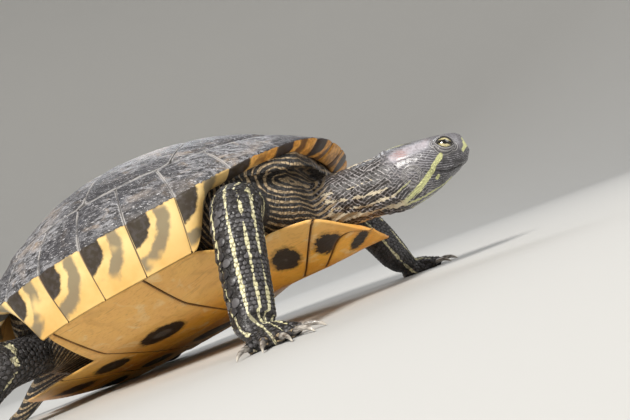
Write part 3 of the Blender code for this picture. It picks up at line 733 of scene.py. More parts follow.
carapace_finish = carapace_horn()
for plate_name, (plate_shape, plate_marks) in horn_marks.items():
    piece("horn_" + plate_name, plate_shape, carapace_finish, [plate_name], plate_marks, 50)
print("carapace triangles:", sum(piece_sizes.values()))

# %% [markdown]
# ## The rim
# Twelve plates a side make the rim. Each wraps round the shell's edge: dark and weathered on top, yellow
# underneath, with a black half disc at its rear corner and a dark arc round that. One closed section is
# carried round each side. It is a long way round, so the seams and the notched rear edge are worked into the
# sections themselves, from the distance along the edge to the nearest seam.

# %% Seams and sections of the rim
RIM_SEAMS = (0.487, 0.425, 0.335, 0.225, 0.120, 0.015, -0.090, -0.195, -0.290, -0.375, -0.450)
NUCHAL_TURN = 0.050                                # half of the small plate over the neck
REAR_SEAM_TURN = 0.002                             # half of the gap between the two sides at the tail
TOP_SAMPLES, UNDER_SAMPLES, BACK_SAMPLES = 30, 26, 6
RIM_GAP = 0.003                                    # level between the dome's plates and the rim's
PLATE_GAP = 0.0015                                 # turn between the rim and the plate over the neck
NO_BLOTCH = 40                                     # millimetres from a blotch, where there is none


def along_edge(turns):
    """Distance along the shell's outer edge at each turn, by adding up short chords."""
    fine = np.linspace(0.0005, math.pi - 0.0005, 6000)
    points = np.stack(level_point(1.0, fine), axis=-1)
    length = np.concatenate([[0], np.cumsum(np.linalg.norm(np.diff(points, axis=0), axis=1))])
    return np.interp(turns, fine, length)


def even_turns(start, end, spacing):
    """Turns from start to end whose points lie evenly along the edge."""
    fine = np.linspace(start, end, 4000)
    length = along_edge(fine)
    count = max(int((length[-1] - length[0]) / spacing), 6)
    return np.interp(np.linspace(length[0], length[-1], count), length, fine)


def rim_sections(turns):
    """Closed sections, one row for each turn: over the top on the dome, round the edge, back along a hollow
    curve (a quadratic Bezier) to the inner edge, and up behind. Also how far below the edge each point is."""
    turns = turns[:, None]
    start = MARGIN_LEVEL + RIM_GAP
    level = start + (1 - MARGIN_LEVEL - RIM_GAP) * np.linspace(0, 1, TOP_SAMPLES)[None, :] ** 0.8
    x, y = level_point(level, turns)
    top = np.stack([x, y, dome(x, y)], axis=-1)
    edge = top[:, -1:]
    inner = np.stack(underside_edge(turns), axis=-1)
    hollow = (edge + inner) / 2 - np.array((0, 0, 0.0024))
    t = np.linspace(0, 1, UNDER_SAMPLES + 1)[1:, None] ** 1.15
    under = (1 - t) ** 2 * edge + 2 * t * (1 - t) * hollow + t ** 2 * inner
    start_x, start_y = level_point(np.full_like(turns, start), turns)
    behind = above(dome, start_x, start_y, np.full(start_x.shape, -PLATE))
    s = np.linspace(0, 1, BACK_SAMPLES + 1)[1:, None]
    back = inner * (1 - s) + behind * s
    ring = np.concatenate([top, under, back], axis=1)
    step = np.linalg.norm(np.diff(ring, axis=1, prepend=ring[:, -1:]), axis=-1)
    below = np.cumsum(step, axis=1)
    below = below - below[:, TOP_SAMPLES - 1:TOP_SAMPLES]
    return ring, below


def outward_arrows(ring):
    """Unit arrows square to a surface of closed sections: the cross product of its two directions."""
    down = np.gradient(ring, axis=0)
    over = (np.roll(ring, -1, axis=1) - np.roll(ring, 1, axis=1)) / 2
    arrow = unit(np.cross(over, down))
    away = ring - ring.mean(axis=1, keepdims=True)
    return arrow * np.sign((arrow * away).sum(axis=-1).mean())


def seam_distances(turns):
    """For each turn: distance to the nearest seam, to the plate's rear seam, and the plate's length."""
    place = along_edge(turns)
    seams = np.sort(along_edge(np.arccos(2 * np.array(RIM_SEAMS))))
    ends = np.concatenate([[along_edge(NUCHAL_TURN)], seams, [along_edge(math.pi - REAR_SEAM_TURN / 2)]])
    plate = np.clip(np.searchsorted(ends, place, side="right") - 1, 0, len(ends) - 2)
    ahead, behind = place - ends[plate], ends[plate + 1] - place
    return np.minimum(ahead, behind), behind, ahead + behind


def rounded_edge(ring, below):
    """Five rounds of moving the points near the edge to a mean of themselves and the points beside them."""
    for _ in range(5):
        rounded = (np.roll(ring, 1, axis=1) + 2 * ring + np.roll(ring, -1, axis=1)) / 4
        ring = ring + (rounded - ring) * hump(below, 0.0012)[..., None]
    return ring


def rim_shape(turns, sign, seed):
    """One side of the rim, with its seams, growth lines, rounded edge and notched rear corners."""
    ring, below = rim_sections(turns)
    seam, behind, length = (v[:, None] for v in seam_distances(turns))
    near_edge = hump(below, 0.007)
    rear = soft_step(-ring[:, TOP_SAMPLES - 1, 0] / SHELL_LENGTH, 0.22, 0.34)[:, None]
    towards_middle = -ring * np.array((1, 1, 0)) / np.linalg.norm(ring[..., :2], axis=-1, keepdims=True)
    notch = (0.0004 + 0.0022 * rear) * hump(behind, 0.0028) + 0.0004 * hump(seam, 0.002)
    swell = -0.0009 * rear * np.sin(math.pi * np.clip(behind / length, 0, 1))
    ring = ring + towards_middle * ((notch + swell) * near_edge)[..., None]
    ring = rounded_edge(ring, below)
    arrows = outward_arrows(ring)
    on_top = 1 - soft_step(below, -0.0006, 0.0004)
    wander = layered_noise(ring, 0.010, 3, seed)
    wrinkle = layered_noise(ring, (0.006, 0.0014, 0.0014), 3, seed + 4)
    u, v = behind / length, np.clip(-below / 0.016, 0, 1.2)
    growth = np.clip((np.abs(u - 0.30) / 0.70) ** 4 + np.abs(v - 1.0) ** 4, 0, 9) ** 0.25
    rings = np.sin(2 * math.pi * (growth * 6 + 0.4 * wander)) * soft_step(growth, 0.25, 0.6)
    border = np.linalg.norm(ring - ring[:, :1], axis=-1)
    inner_border = hump(border, 0.0009) * on_top
    relief = (on_top * (0.00010 * rings + 0.00015 * wrinkle) + (1 - on_top) * 0.00005 * wander
              - 0.00050 * hump(seam, 0.00055) * (0.55 + 0.45 * on_top) - 0.00045 * inner_border
              + 0.00030 * on_top * soft_step(seam, 0, 0.005) - 0.00015)
    ring = ring + arrows * relief[..., None]
    shape = turned_outward(*closed_loft(placed(ring * np.array((1, sign, 1)))))
    blotch = np.hypot(behind - 0.0005, (below - 0.0025) * 0.95)
    values = {"seam": np.minimum(seam, np.where(below < 0, border, 1)) / MM, "under": below / MM,
              "blotch": blotch / MM, "growth": growth,
              "front": soft_step(ring[..., 0] / SHELL_LENGTH, 0.30, 0.40)}
    marks = {name: with_ends(np.broadcast_to(v, below.shape)) for name, v in values.items()}
    return shape, marks


def with_ends(values):
    """A mark for a closed loft: its grid, then one mean value for each end's middle point."""
    return np.concatenate([values.ravel(), [values[0].mean(), values[-1].mean()]])


# %% [markdown]
# ### The rim's horn
# Above the edge the rim wears the same weathered horn as the dome. Below it the horn is young and yellow, and
# orange at the front. The mark "under" says how many millimetres a point lies below the edge, and "blotch"
# how far it is from the rear corner, so a black disc, a yellow gap and a dark arc are steps of one distance,
# roughened by a noise.

# %% Finish of the rim
def rim_horn():
    b = Bench("rim_horn")
    seam, under, blotch = b.mark("seam"), b.mark("under"), b.mark("blotch")
    top, _, height = weathered_horn(b, seam, b.mark("growth"))
    mottle, grain = b.noise(70, 4), b.noise(420, 3)
    fine = b.noise(1200, 2)
    yellow = b.blend(b.step(mottle, 0.35, 0.7), (0.82, 0.60, 0.26), (0.68, 0.43, 0.150))
    yellow = b.tinted(yellow, (under, 6, 22, 0.55, (0.70, 0.40, 0.10)))
    orange = b.blend(b.step(grain, 0.35, 0.65), (0.90, 0.46, 0.100), (0.55, 0.23, 0.035))
    yellow = b.blend(b.mark("front"), yellow, orange)
    wobbly = b.ragged(blotch, b.noise(190, 4), 5.0)
    disc = b.step(wobbly, 11.2, 9.8)
    arc = b.times(b.step(wobbly, 13.6, 15.2), b.step(wobbly, 21.8, 19.4))
    arc = b.times(arc, b.step(b.noise(60, 2), 0.36, 0.5))
    arc_colour = b.blend(b.mark("front"), (0.165, 0.145, 0.105), (0.085, 0.036, 0.018))
    yellow = b.blend(b.times(arc, 0.84), yellow, arc_colour)
    black = b.blend(b.step(grain, 0.4, 0.7), (0.009, 0.008, 0.010), (0.034, 0.032, 0.040))
    yellow = b.blend(b.times(disc, 0.96), yellow, black)
    yellow = b.tinted(yellow, (seam, 0.50, 0.22, 0.9, (0.07, 0.045, 0.03)))
    lip = b.ragged(under, grain, 2.2)
    colour = b.blend(b.step(lip, -0.15, 0.25), top, yellow)
    rough = b.step(lip, -0.3, 0.5, 0.52, 0.36)
    height = b.times(height, b.step(lip, -0.3, 0.6, 1.0, 0.16))
    height = b.plus(height, b.times(fine, 0.12))
    return b.done(Base_Color=colour, Roughness=rough, Normal=b.bump(height, 0.00035, 0.9), Coat_Weight=0.05,
                  Coat_Roughness=0.35, Specular_IOR_Level=0.35)


rim_finish = rim_horn()
for rim_side, rim_sign in (("left", 1), ("right", -1)):
    rim_turns = even_turns(NUCHAL_TURN + PLATE_GAP, math.pi - REAR_SEAM_TURN, 0.0007)
    rim_piece, rim_marks = rim_shape(rim_turns, rim_sign, 70 + rim_sign)
    piece(f"rim_plates_{rim_side}", rim_piece, rim_finish, [f"marginals_{rim_side}"], rim_marks)


# %% The small plate over the neck
def nuchal_shape():
    """The rim's sections on the right, mirrored, then those on the left, joined into one closed body."""
    turns = even_turns(0.004, NUCHAL_TURN - PLATE_GAP, 0.0006)
    half, below = rim_sections(turns)
    ring = np.concatenate([half[::-1] * np.array((1, -1, 1)), half])
    below = np.concatenate([below[::-1], below])
    ring = rounded_edge(ring, below)
    side = np.minimum(np.abs(ring[..., 1] - ring[..., 1].max()), np.abs(ring[..., 1] - ring[..., 1].min()))
    ring = ring + outward_arrows(ring) * (0.0002 * soft_step(side, 0, 0.003) - 0.0005 * hump(side, 0.0006)
                                          - 0.0001)[..., None]
    border = np.linalg.norm(ring - ring[:, :1], axis=-1)
    values = {"seam": np.minimum(side, np.where(below < 0, border, 1)) / MM, "under": below / MM,
              "blotch": np.full_like(below, NO_BLOTCH), "growth": side / 0.006, "front": np.ones_like(below)}
    return (turned_outward(*closed_loft(placed(ring))),
            {name: with_ends(np.broadcast_to(v, below.shape)) for name, v in values.items()})


neck_plate, neck_plate_marks = nuchal_shape()
piece("horn_nuchal", neck_plate, rim_finish, ["nuchal"], neck_plate_marks)
print("rim triangles:", piece_sizes["rim_plates_left"])

# %% [markdown]
# ## The lower shell
# Eleven plates make the plastron: one under the neck that spans both sides, then five pairs. It is almost
# flat along the middle, turns up like a boat in front, and rises at the bridge to meet the rim. Each plate is
# a fine grid between two seams on one height formula, with shallow grooves at the seams.

# %% The plastron's form
PLASTRON_EDGE = ((-0.460, 0.070), (-0.440, 0.118), (-0.360, 0.168), (-0.260, 0.190), (-0.160, 0.190),
                 (0.200, 0.205), (0.320, 0.210), (0.400, 0.196), (0.445, 0.155), (0.480, 0.098),
                 (0.507, 0.056))
PLASTRON_BOAT = ((-0.460, 0.014), (-0.300, 0.006), (0.050, 0.012), (0.200, 0.038), (0.320, 0.064),
                 (0.420, 0.064), (0.475, 0.045), (0.510, 0.020))
PLASTRON_SEAMS = ((0.503, -0.006), (0.346, 0.150), (0.290, 0.125), (0.095, 0.000),
                  (-0.130, 0.000), (-0.250, -0.020), (-0.440, -0.020))
PLASTRON_GAP, MIDDLE_GAP = 0.00028, 0.00015        # half of the gaps between plates, across and along
FLOOR_GAP = 0.00005                                # nothing goes lower than this
PLASTRON_PLATES = ("gular", "humeral", "pectoral", "abdominal", "femoral", "anal")


def plastron_height(x, y):
    """The boat's rise grows with the distance from the middle, to the power 1.4. The wing turns up."""
    x, y = np.asarray(x, dtype=float), np.abs(y)
    rise = curve(x / SHELL_LENGTH, PLASTRON_BOAT) * SHELL_LENGTH * (y / (0.20 * SHELL_LENGTH)) ** 1.4
    ends = 0.006 * soft_step(-x / SHELL_LENGTH, 0.34, 0.52) - 0.004 * soft_step(x / SHELL_LENGTH, 0.10, 0.42)
    wing = np.clip((y / SHELL_LENGTH - 0.20) / 0.135, 0, 1)
    return rise * (1 - 0.6 * wing) + ends + 0.0125 * wing ** 1.3


def plastron_reach(x):
    """Half width of the lower shell, with the bridge's wing where there is one."""
    place = x / SHELL_LENGTH
    lobe = curve(place, PLASTRON_EDGE) * SHELL_LENGTH
    wing = (soft_step(place, BRIDGE_BACK - 0.012, BRIDGE_BACK + 0.012)
            * (1 - soft_step(place, BRIDGE_FRONT - 0.012, BRIDGE_FRONT + 0.095)))
    turn = np.arccos(np.clip(x / (HALF * math.sqrt(UNDERSIDE_LEVEL)), -1, 1))
    return lobe + (underside_edge(turn)[1] - 0.0003 - lobe) * wing


# %% Where each plate has its blotch
# Centre in shell lengths from the shell's origin, then half length, half width in metres, and turn in
# degrees.
BLOTCHES = {"gular": (0.458, 0.058, 0.0105, 0.0034, 50), "humeral": (0.400, 0.103, 0.0082, 0.0066, 60),
            "pectoral": (0.304, 0.116, 0.0095, 0.0070, 70), "abdominal": (-0.030, 0.125, 0.0150, 0.0105, 20),
            "femoral": (-0.200, 0.095, 0.0100, 0.0085, 10), "anal": (-0.335, 0.075, 0.0120, 0.0075, -25)}


def blotch_distance(plate, x, y):
    """Signed distance in millimetres from an ellipse's border: negative inside."""
    along, aside, length, width, turn = BLOTCHES[plate]
    turn = math.radians(turn)
    dx, dy = x - along * SHELL_LENGTH, np.abs(y) - aside * SHELL_LENGTH
    u, v = dx * math.cos(turn) + dy * math.sin(turn), dy * math.cos(turn) - dx * math.sin(turn)
    return (np.hypot(u / length, v / width) - 1) * math.sqrt(length * width) / MM


def plastron_plate(index, sign):
    """One plate: down its rows from seam to seam, across its columns from the middle line to the edge."""
    plate = PLASTRON_PLATES[index]
    whole = index == 0
    (front, front_lean), (back, back_lean) = PLASTRON_SEAMS[index], PLASTRON_SEAMS[index + 1]
    across = np.linspace(-1 if whole else 0, 1, 120 if whole else 84)[None, :]
    ahead = (front + front_lean * np.abs(across)) * SHELL_LENGTH - PLASTRON_GAP
    behind = (back + back_lean * np.abs(across)) * SHELL_LENGTH + PLASTRON_GAP
    share = np.linspace(0, 1, steps_for((ahead - behind).max()))[:, None]
    x = ahead * (1 - share) + behind * share
    middle = 0 if whole else MIDDLE_GAP
    y = sign * (middle * np.sign(across) + (plastron_reach(x) - middle) * across)
    d_front, d_back, d_first, d_last = edge_distance(x, y)
    seam = np.minimum(d_front if index else 1.0, d_back if index < 5 else 1.0)
    seam = np.minimum(seam, 1.0 if whole else d_first)
    border = np.minimum(np.minimum(d_front, d_back), np.minimum(d_first, d_last))
    flat = np.stack([x, y, np.zeros_like(x)], axis=-1)
    wander = layered_noise(flat, 0.014, 3, 200 + index)
    rings = np.sin(2 * math.pi * (np.maximum(np.abs(2 * share - 1), np.abs(across)) * 6 + 0.5 * wander))
    lift = (0.00040 * hump(seam, 0.0006) + 0.00030 * hump(border, 0.0005) + 0.00009 * wander + 0.00003 * rings
            + 0.00010)
    free = np.minimum(d_last, d_first) if whole else d_last
    if whole or index == 5:
        free = np.minimum(free, d_front if whole else d_back)
    thick = 0.0011 + (PLATE - 0.0014) * soft_step(free, 0, 0.008)
    outer = placed(above(plastron_height, x, y, lift + 0.0006 * hump(free, 0.0007)))
    outer[..., 2] = np.maximum(outer[..., 2], FLOOR_GAP)
    inner = placed(above(plastron_height, x, y, thick))
    marks = {"seam": seam / MM, "blotch": blotch_distance(plate, x, y), "side": np.abs(y) / MM}
    return turned_outward(*closed_plate(outer, inner)), {n: np.tile(v.ravel(), 2) for n, v in marks.items()}


# %% [markdown]
# ### The plastron's horn
# Smooth, slightly glossy and orange-yellow, paler towards the edge, with tan patches and brown streaks. Each
# blotch is black with a ragged border, which is its distance mark roughened by a noise, and thin brown seams
# part the plates.

# %% Finish of the plastron
def plastron_horn():
    b = Bench("plastron_horn")
    seam, blotch, side = b.mark("seam"), b.mark("blotch"), b.mark("side")
    cloud, ragged = b.noise(45, 4), b.noise(300, 5, rough=0.75)
    grain = b.noise(380, 4, place=b.stretched((1, 3, 1)))
    colour = b.blend(b.step(cloud, 0.35, 0.68), (0.95, 0.47, 0.055), (0.76, 0.29, 0.020))
    colour = b.tinted(colour, (b.plus(side, b.times(cloud, 30.0)), 30, 60, 0.7, (0.92, 0.58, 0.20)))
    tan = b.noise(70, 3, distortion=0.8)
    colour = b.tinted(
        colour, (tan, 0.54, 0.70, 0.30, (0.50, 0.24, 0.06)),
        (tan, 0.42, 0.30, 0.55, (0.93, 0.70, 0.36)),
        (grain, 0.5, 0.75, 0.35, (0.52, 0.22, 0.03)))
    streak = b.noise(90, 3, place=b.stretched((0.5, 4, 1), turn=(0, 0, 0.6)), distortion=1.5)
    colour = b.tinted(colour, (streak, 0.60, 0.72, 0.28, (0.30, 0.13, 0.025)))
    border = b.ragged(blotch, ragged, 9.0)
    border = b.ragged(border, cloud, 4.0)
    black = b.blend(b.step(b.plus(blotch, b.times(grain, 3.0)), -6.5, -5.0), (0.075, 0.068, 0.062),
                    (0.011, 0.008, 0.007))
    colour = b.tinted(
        colour, (border, 3.0, 0.6, 0.50, (0.20, 0.10, 0.02)),
        (border, 0.5, -0.5, 0.97, black))
    wavy = b.ragged(seam, grain, 0.6)
    colour = b.tinted(
        colour, (wavy, 0.55, 0.25, 0.85, (0.12, 0.055, 0.02)),
        (wavy, 2.2, 0.5, 0.25, (0.40, 0.20, 0.06)))
    rough = b.step(b.plus(grain, cloud), 0.7, 1.3, 0.30, 0.46)
    fine = b.plus(b.times(b.noise(700, 3), 0.5), grain)
    return b.done(Base_Color=colour, Roughness=rough, Normal=b.bump(fine, 0.00012, 0.8), Coat_Weight=0.06,
                  Coat_Roughness=0.22, Specular_IOR_Level=0.35, Subsurface_Weight=0.06,
                  Subsurface_Radius=(0.004, 0.002, 0.001))


plastron_finish = plastron_horn()
plate_shape, plate_marks = plastron_plate(0, 1)
piece("under_gular", plate_shape, plastron_finish, ["gular"], plate_marks, 50)
for plate_side, plate_sign in (("left", 1), ("right", -1)):
    for plate_index in range(1, 6):
        plate_name = f"{PLASTRON_PLATES[plate_index]}_{plate_side}"
        plate_shape, plate_marks = plastron_plate(plate_index, plate_sign)
        piece("under_" + plate_name, plate_shape, plastron_finish, [plate_name],
              plate_marks, 50)
print("plastron plates:", sum(name.startswith("under_") for name in piece_sizes))

# %% [markdown]
# ## One continuous skin
# All the flesh wears one skin: trunk, neck, head, jaw, legs, feet and tail. Separate lofts would show a seam
# at every joint, so simple lofts are first laid through each other, then a voxel remesh turns them into one
# closed surface. A voxel grid has one cell size, too coarse for an eyelid or too fine for a trunk. So space
# is first stretched round the eyes, the head and the feet, and shrunk round the trunk, remeshed there, and
# let back.

# %% Sections along a path
def rounded_square(angle, power):
    """Unit outline: power 1 is a circle and smaller is squarer."""
    c, s = np.cos(angle), np.sin(angle)
    return np.sign(c) * np.abs(c) ** power, np.sign(s) * np.abs(s) ** power


def path_frames(path, steps, up=(0, 0, 1)):
    """Shares and places along a smooth curve through the path's points, with arrows along it, to its side and
    to its top."""
    path = np.array(path, dtype=float)
    key, t = np.linspace(0, 1, len(path)), np.linspace(0, 1, steps)
    centre = np.stack([curve(t, list(zip(key, path[:, k]))) for k in range(3)], axis=-1)
    ahead = unit(np.gradient(centre, axis=0))
    side = unit(np.cross(np.array(up, dtype=float), ahead))
    return t, centre, ahead, side, np.cross(ahead, side)


def swept(path, wide, tall, steps, sides, up=(0, 0, 1)):
    """Rings square to a path, of half widths across it and half heights along its upward side."""
    t, centre, _, side, top = path_frames(path, steps, up)
    c, s = rounded_square(np.linspace(0, 2 * math.pi, sides, endpoint=False), 1.0)
    return (centre[:, None] + side[:, None] * c[None, :, None] * curve(t, wide)[:, None, None]
            + top[:, None] * s[None, :, None] * curve(t, tall)[:, None, None])


# %% Trunk and neck
SKIN_DEPTH = 0.0003          # the foot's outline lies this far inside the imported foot, under its scales
LINING_DEPTH = 0.0150        # thickness of the skin that closes the front opening
TRUNK_SIDES, LINING_SIDES = 64, 96
NECK_PATH = ((0.300, 0.000, 0.108), (0.400, 0.000, 0.112), (0.500, -0.002, 0.098), (0.5747, -0.003, 0.083))


def trunk_rings():
    """Sections across the body: rounded squares kept a little clear of the two shells' inner faces."""
    rings = []
    angles = np.linspace(0, 2 * math.pi, TRUNK_SIDES, endpoint=False)
    for place in np.linspace(-0.405, 0.395, 28):
        x = place * SHELL_LENGTH
        end = 1 - 0.25 * soft_step(place, 0.33, 0.395) - 0.35 * soft_step(-place, 0.31, 0.405)
        half = curve(place, ((-0.41, 0.19), (-0.25, 0.255), (0.0, 0.280), (0.25, 0.262), (0.40, 0.215)))
        clear = PLATE + 0.0024
        roof = clear - 0.0014 * soft_step(abs(place), 0.25, 0.36)
        low, high = plastron_height(x, 0.0) + clear, min(dome(x, 0.0) - roof, 0.30 * SHELL_LENGTH)
        c, s = rounded_square(angles, 0.85)
        y = c * half * SHELL_LENGTH * end
        z = (low + high) / 2 + s * (high - low) / 2 * end
        z = np.clip(z, plastron_height(x, y) + clear, dome(x, y) - roof)
        rings.append(np.stack([np.full(TRUNK_SIDES, x), y, z], axis=-1))
    return placed(np.array(rings))


def lining_rings():
    """A slab of skin under the carapace in front, which closes the opening over the shoulders."""
    rings = []
    angles = np.linspace(0, 2 * math.pi, LINING_SIDES, endpoint=False)
    for place in np.linspace(0.20, 0.435, 12):
        x = place * SHELL_LENGTH
        c, s = rounded_square(angles, 0.55)
        y = c * curve(place, ((0.20, 0.270), (0.30, 0.262), (0.38, 0.225), (0.44, 0.165))) * SHELL_LENGTH
        roof = dome(x, y) - PLATE - 0.0012
        z = roof - LINING_DEPTH * (1 - s) / 2
        rings.append(np.stack([np.full(LINING_SIDES, x), y, z], axis=-1))
    return placed(np.array(rings))


def neck_rings():
    """Sections from inside the trunk to the back of the skull."""
    path = [np.array(p) * SHELL_LENGTH for p in NECK_PATH]
    path.append(path[-1] + (0.006, -0.0001, -0.001))
    wide = ((0, 0.0168), (0.5, 0.0165), (0.75, 0.0155), (0.93, 0.0143), (1, 0.0135))
    tall = ((0, 0.0148), (0.4, 0.0153), (0.75, 0.0167), (0.93, 0.0171), (1, 0.0160))
    return placed(swept(path, wide, tall, 40, 56))


# %% Head
HEAD_CROWN = ((0.576, 0.156), (0.620, 0.148), (0.654, 0.138), (0.708, 0.123), (0.735, 0.1135), (0.747, 0.104),
              (0.750, 0.092))
HEAD_THROAT = ((0.576, 0.010), (0.620, 0.012), (0.660, 0.019), (0.690, 0.028), (0.715, 0.036), (0.735, 0.045),
               (0.750, 0.062))
HEAD_HALF = ((0.576, 0.060), (0.610, 0.064), (0.650, 0.061), (0.690, 0.052), (0.720, 0.038), (0.738, 0.026),
             (0.750, 0.010))
HEAD_SWAY = -0.004
HEAD_TIP = (0.7503, HEAD_SWAY, 0.073)


def head_rings():
    """Sections across the head between its crown and throat lines, 16 percent narrower below than above."""
    place = np.concatenate([np.linspace(0.577, 0.735, 40), np.linspace(0.738, 0.7495, 8)])[:, None]
    angles = np.linspace(0, 2 * math.pi, 80, endpoint=False)[None, :]
    top, bottom, half = (curve(place, points) for points in (HEAD_CROWN, HEAD_THROAT, HEAD_HALF))
    c, s = rounded_square(angles, 0.92)
    across = HEAD_SWAY + c * half * (1 - 0.16 * np.clip(-s, 0, 1))
    up = (top + bottom) / 2 + s * (top - bottom) / 2
    rings = np.stack([np.broadcast_to(place, across.shape), across, up], axis=-1)
    return placed(rings * SHELL_LENGTH)


def ball(centre, radius):
    """A ball's rings between two poles across Y."""
    lean = np.linspace(-80, 80, 20)[:, None] * math.pi / 180
    around = np.linspace(0, 2 * math.pi, 36, endpoint=False)[None, :]
    rings = np.stack([np.cos(lean) * np.cos(around), np.sin(lean) + 0 * around,
                      np.cos(lean) * np.sin(around)], axis=-1)
    tips = (centre + np.array((0, -radius, 0)), centre + np.array((0, radius, 0)))
    return closed_loft(rings * radius + centre, tips)


EYE_CENTRES = {side: np.array(sum(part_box(f"eye_{side}"), Vector()) / 2) for side in ("left", "right")}
EYE_RADIUS, LID_RADIUS = 0.00515, 0.00575

# %% [markdown]
# ### Legs, feet and tail
# A foreleg leaves the front opening sideways, bends at the elbow and comes down to a webbed foot. The feet
# are low lobed pads, one lobe for each toe, with a rounded toe on each lobe. The hind feet have four clawed
# toes.

# %% Legs
FORELEG = {"wide": ((0, 0.0120), (0.35, 0.0118), (0.67, 0.0096), (1, 0.0070)),
           "tall": ((0, 0.0095), (0.35, 0.0110), (0.67, 0.0088), (1, 0.0030)),
           "length": 0.0235, "width": 0.0150, "toes": 5}
HINDLEG = {"wide": ((0, 0.0145), (0.35, 0.0140), (0.67, 0.0105), (1, 0.0080)),
           "tall": ((0, 0.0105), (0.35, 0.0115), (0.67, 0.0092), (1, 0.0030)),
           "length": 0.0250, "width": 0.0165, "toes": 4}
LEGS = {
    "foreleg_right": {**FORELEG, "inner": ((0.245, -0.140, 0.114), (0.318, -0.292, 0.114)),
                      "ankle": (0.290, -0.350), "heading": -50},
    "foreleg_left": {**FORELEG, "inner": ((0.250, 0.140, 0.112), (0.400, 0.262, 0.108)),
                     "ankle": (0.462, 0.285), "heading": 22},
    "hindleg_right": {**HINDLEG, "inner": ((-0.270, -0.130, 0.092), (-0.290, -0.300, 0.066)),
                      "ankle": (-0.385, -0.375), "heading": -128},
    "hindleg_left": {**HINDLEG, "inner": ((-0.270, 0.130, 0.092), (-0.290, 0.295, 0.072)),
                     "ankle": (-0.385, 0.365), "heading": 128},
}
ANKLE_HEIGHT, SOLE_DEPTH, FOOT_AHEAD = 0.0125, 0.0035, 0.0080
TOE_SPREAD, TOE_WIDTH = math.radians(48), 0.15
TOE_HEIGHT, HEEL_HEIGHT = 0.0042, 0.0095
CLAW_LENGTH, CLAW_ROOT, CLAW_RADIUS = 0.0120, 0.0020, 0.0014
LEG_UP = (0.25, 0, 1)                              # the upward side of a leg's sections leans forward

for leg_name, leg in LEGS.items():
    ankle_point = placed_lengths((*leg["ankle"], 0))
    leg["turn"] = math.radians(leg["heading"])
    leg["middle"] = ankle_point[:2] + FOOT_AHEAD * heading(leg["turn"])[:2]
    leg["path"] = [placed_lengths(p) for p in leg["inner"]]
    leg["path"] += [np.array((*ankle_point[:2], ANKLE_HEIGHT)), np.array((*leg["middle"], SOLE_DEPTH))]
    leg["side"] = 1 if leg_name.endswith("left") else -1
    print(leg_name, "stands at", leg["middle"].round(4))


# %% Feet
def toe_angles(count):
    return np.linspace(-TOE_SPREAD, TOE_SPREAD, count)


def foot_outline(angle, leg):
    """Reach of the foot from its middle at an angle: a round heel and a bell-shaped lobe for each toe."""
    palm = leg["width"] * 0.62 * (1 + 0.30 * np.clip(np.cos(angle), 0, 1))
    toes = toe_angles(leg["toes"])[:, None]
    lobes = (1 - 0.22 * np.abs(toes) / TOE_SPREAD) * np.exp(-((angle[None, :] - toes) / TOE_WIDTH) ** 2)
    return palm + (leg["length"] * 0.78 - palm) * lobes.max(axis=0)


def foot_rings(leg):
    """A low pad: a flat sole, then shrinking rings that rise from the toes' height to the heel's."""
    angle = np.linspace(-math.pi, math.pi, 120, endpoint=False)
    reach = foot_outline(angle, leg) - SKIN_DEPTH
    share = np.concatenate([[0.96], np.linspace(1.0, 0.25, 10)])[:, None]
    height = TOE_HEIGHT * 0.45 + (HEEL_HEIGHT - TOE_HEIGHT * 0.45) * (1 - share ** 2) ** 0.8
    height[0] = 0
    turned = angle + leg["turn"]
    outward = np.stack([np.cos(turned), np.sin(turned)], axis=-1)
    flat = outward[None] * (share * reach)[..., None] + leg["middle"]
    return np.concatenate([flat, np.broadcast_to(height[:, :, None], (*flat.shape[:2], 1))], axis=-1)


def toe_parts(leg):
    """A tapered round toe over each lobe."""
    parts = []
    for toe in toe_angles(leg["toes"]):
        ahead = heading(toe + leg["turn"])
        reach = foot_outline(np.array([toe]), leg)[0]
        root = np.array((*leg["middle"], 0))
        path = [root + ahead * 0.25 * reach + (0, 0, 0.0052), root + ahead * 0.65 * reach + (0, 0, 0.0040),
                root + ahead * (reach - 0.0006) + (0, 0, 0.0026)]
        taper = ((0, 0.0030), (0.6, 0.0024), (1, 0.0017))
        parts.append(closed_loft(swept(path, taper, taper, 10, 16)))
    return parts


def leg_rings(leg):
    return swept(leg["path"], leg["wide"], leg["tall"], 36, 40, up=LEG_UP)


def tail_rings():
    path = [placed_lengths(p) for p in ((-0.360, 0, 0.095), (-0.470, 0, 0.078))]
    path += [np.array((-0.1495, 0.0050, 0.0034)), np.array((-0.1675, 0.0140, 0.0016))]
    taper = ((0, 0.0088), (0.4, 0.0064), (0.7, 0.0036), (1, 0.0014))
    return swept(path, taper, taper, 30, 24)


flesh_parts = [closed_loft(trunk_rings()), closed_loft(lining_rings()), closed_loft(neck_rings()),
               closed_loft(head_rings(), (None, placed_lengths(HEAD_TIP))),
               closed_loft(tail_rings())]
flesh_parts += [ball(centre, LID_RADIUS) for centre in EYE_CENTRES.values()]
for leg in LEGS.values():
    flesh_parts += [closed_loft(leg_rings(leg)), closed_loft(foot_rings(leg))] + toe_parts(leg)
flesh_parts = [turned_outward(*part) for part in flesh_parts]
print("flesh is made of", len(flesh_parts), "overlapping lofts")

# %% [markdown]
# ### Stretch, remesh, let back
# Round a centre, distances up to a reach are multiplied by a factor and the rest is pushed outward. The same
# formula read backwards lets the remeshed points return, so the cells come out small where detail is needed.

# %% Stretching space
VOXEL = 0.00157
TRUNK_MIDDLE = (-0.012, 0.001, 0.052)


def stretch(points, centre, factor, reach, back=False):
    """New distance = factor x the part within reach + the part beyond it. Back undoes this."""
    away = points - centre
    distance = np.maximum(np.linalg.norm(away, axis=-1, keepdims=True), 1e-9)
    if back:
        new = np.minimum(distance, factor * reach) / factor + np.maximum(distance - factor * reach, 0)
    else:
        new = np.minimum(distance, reach) * factor + np.maximum(distance - reach, 0)
    return centre + away * new / distance


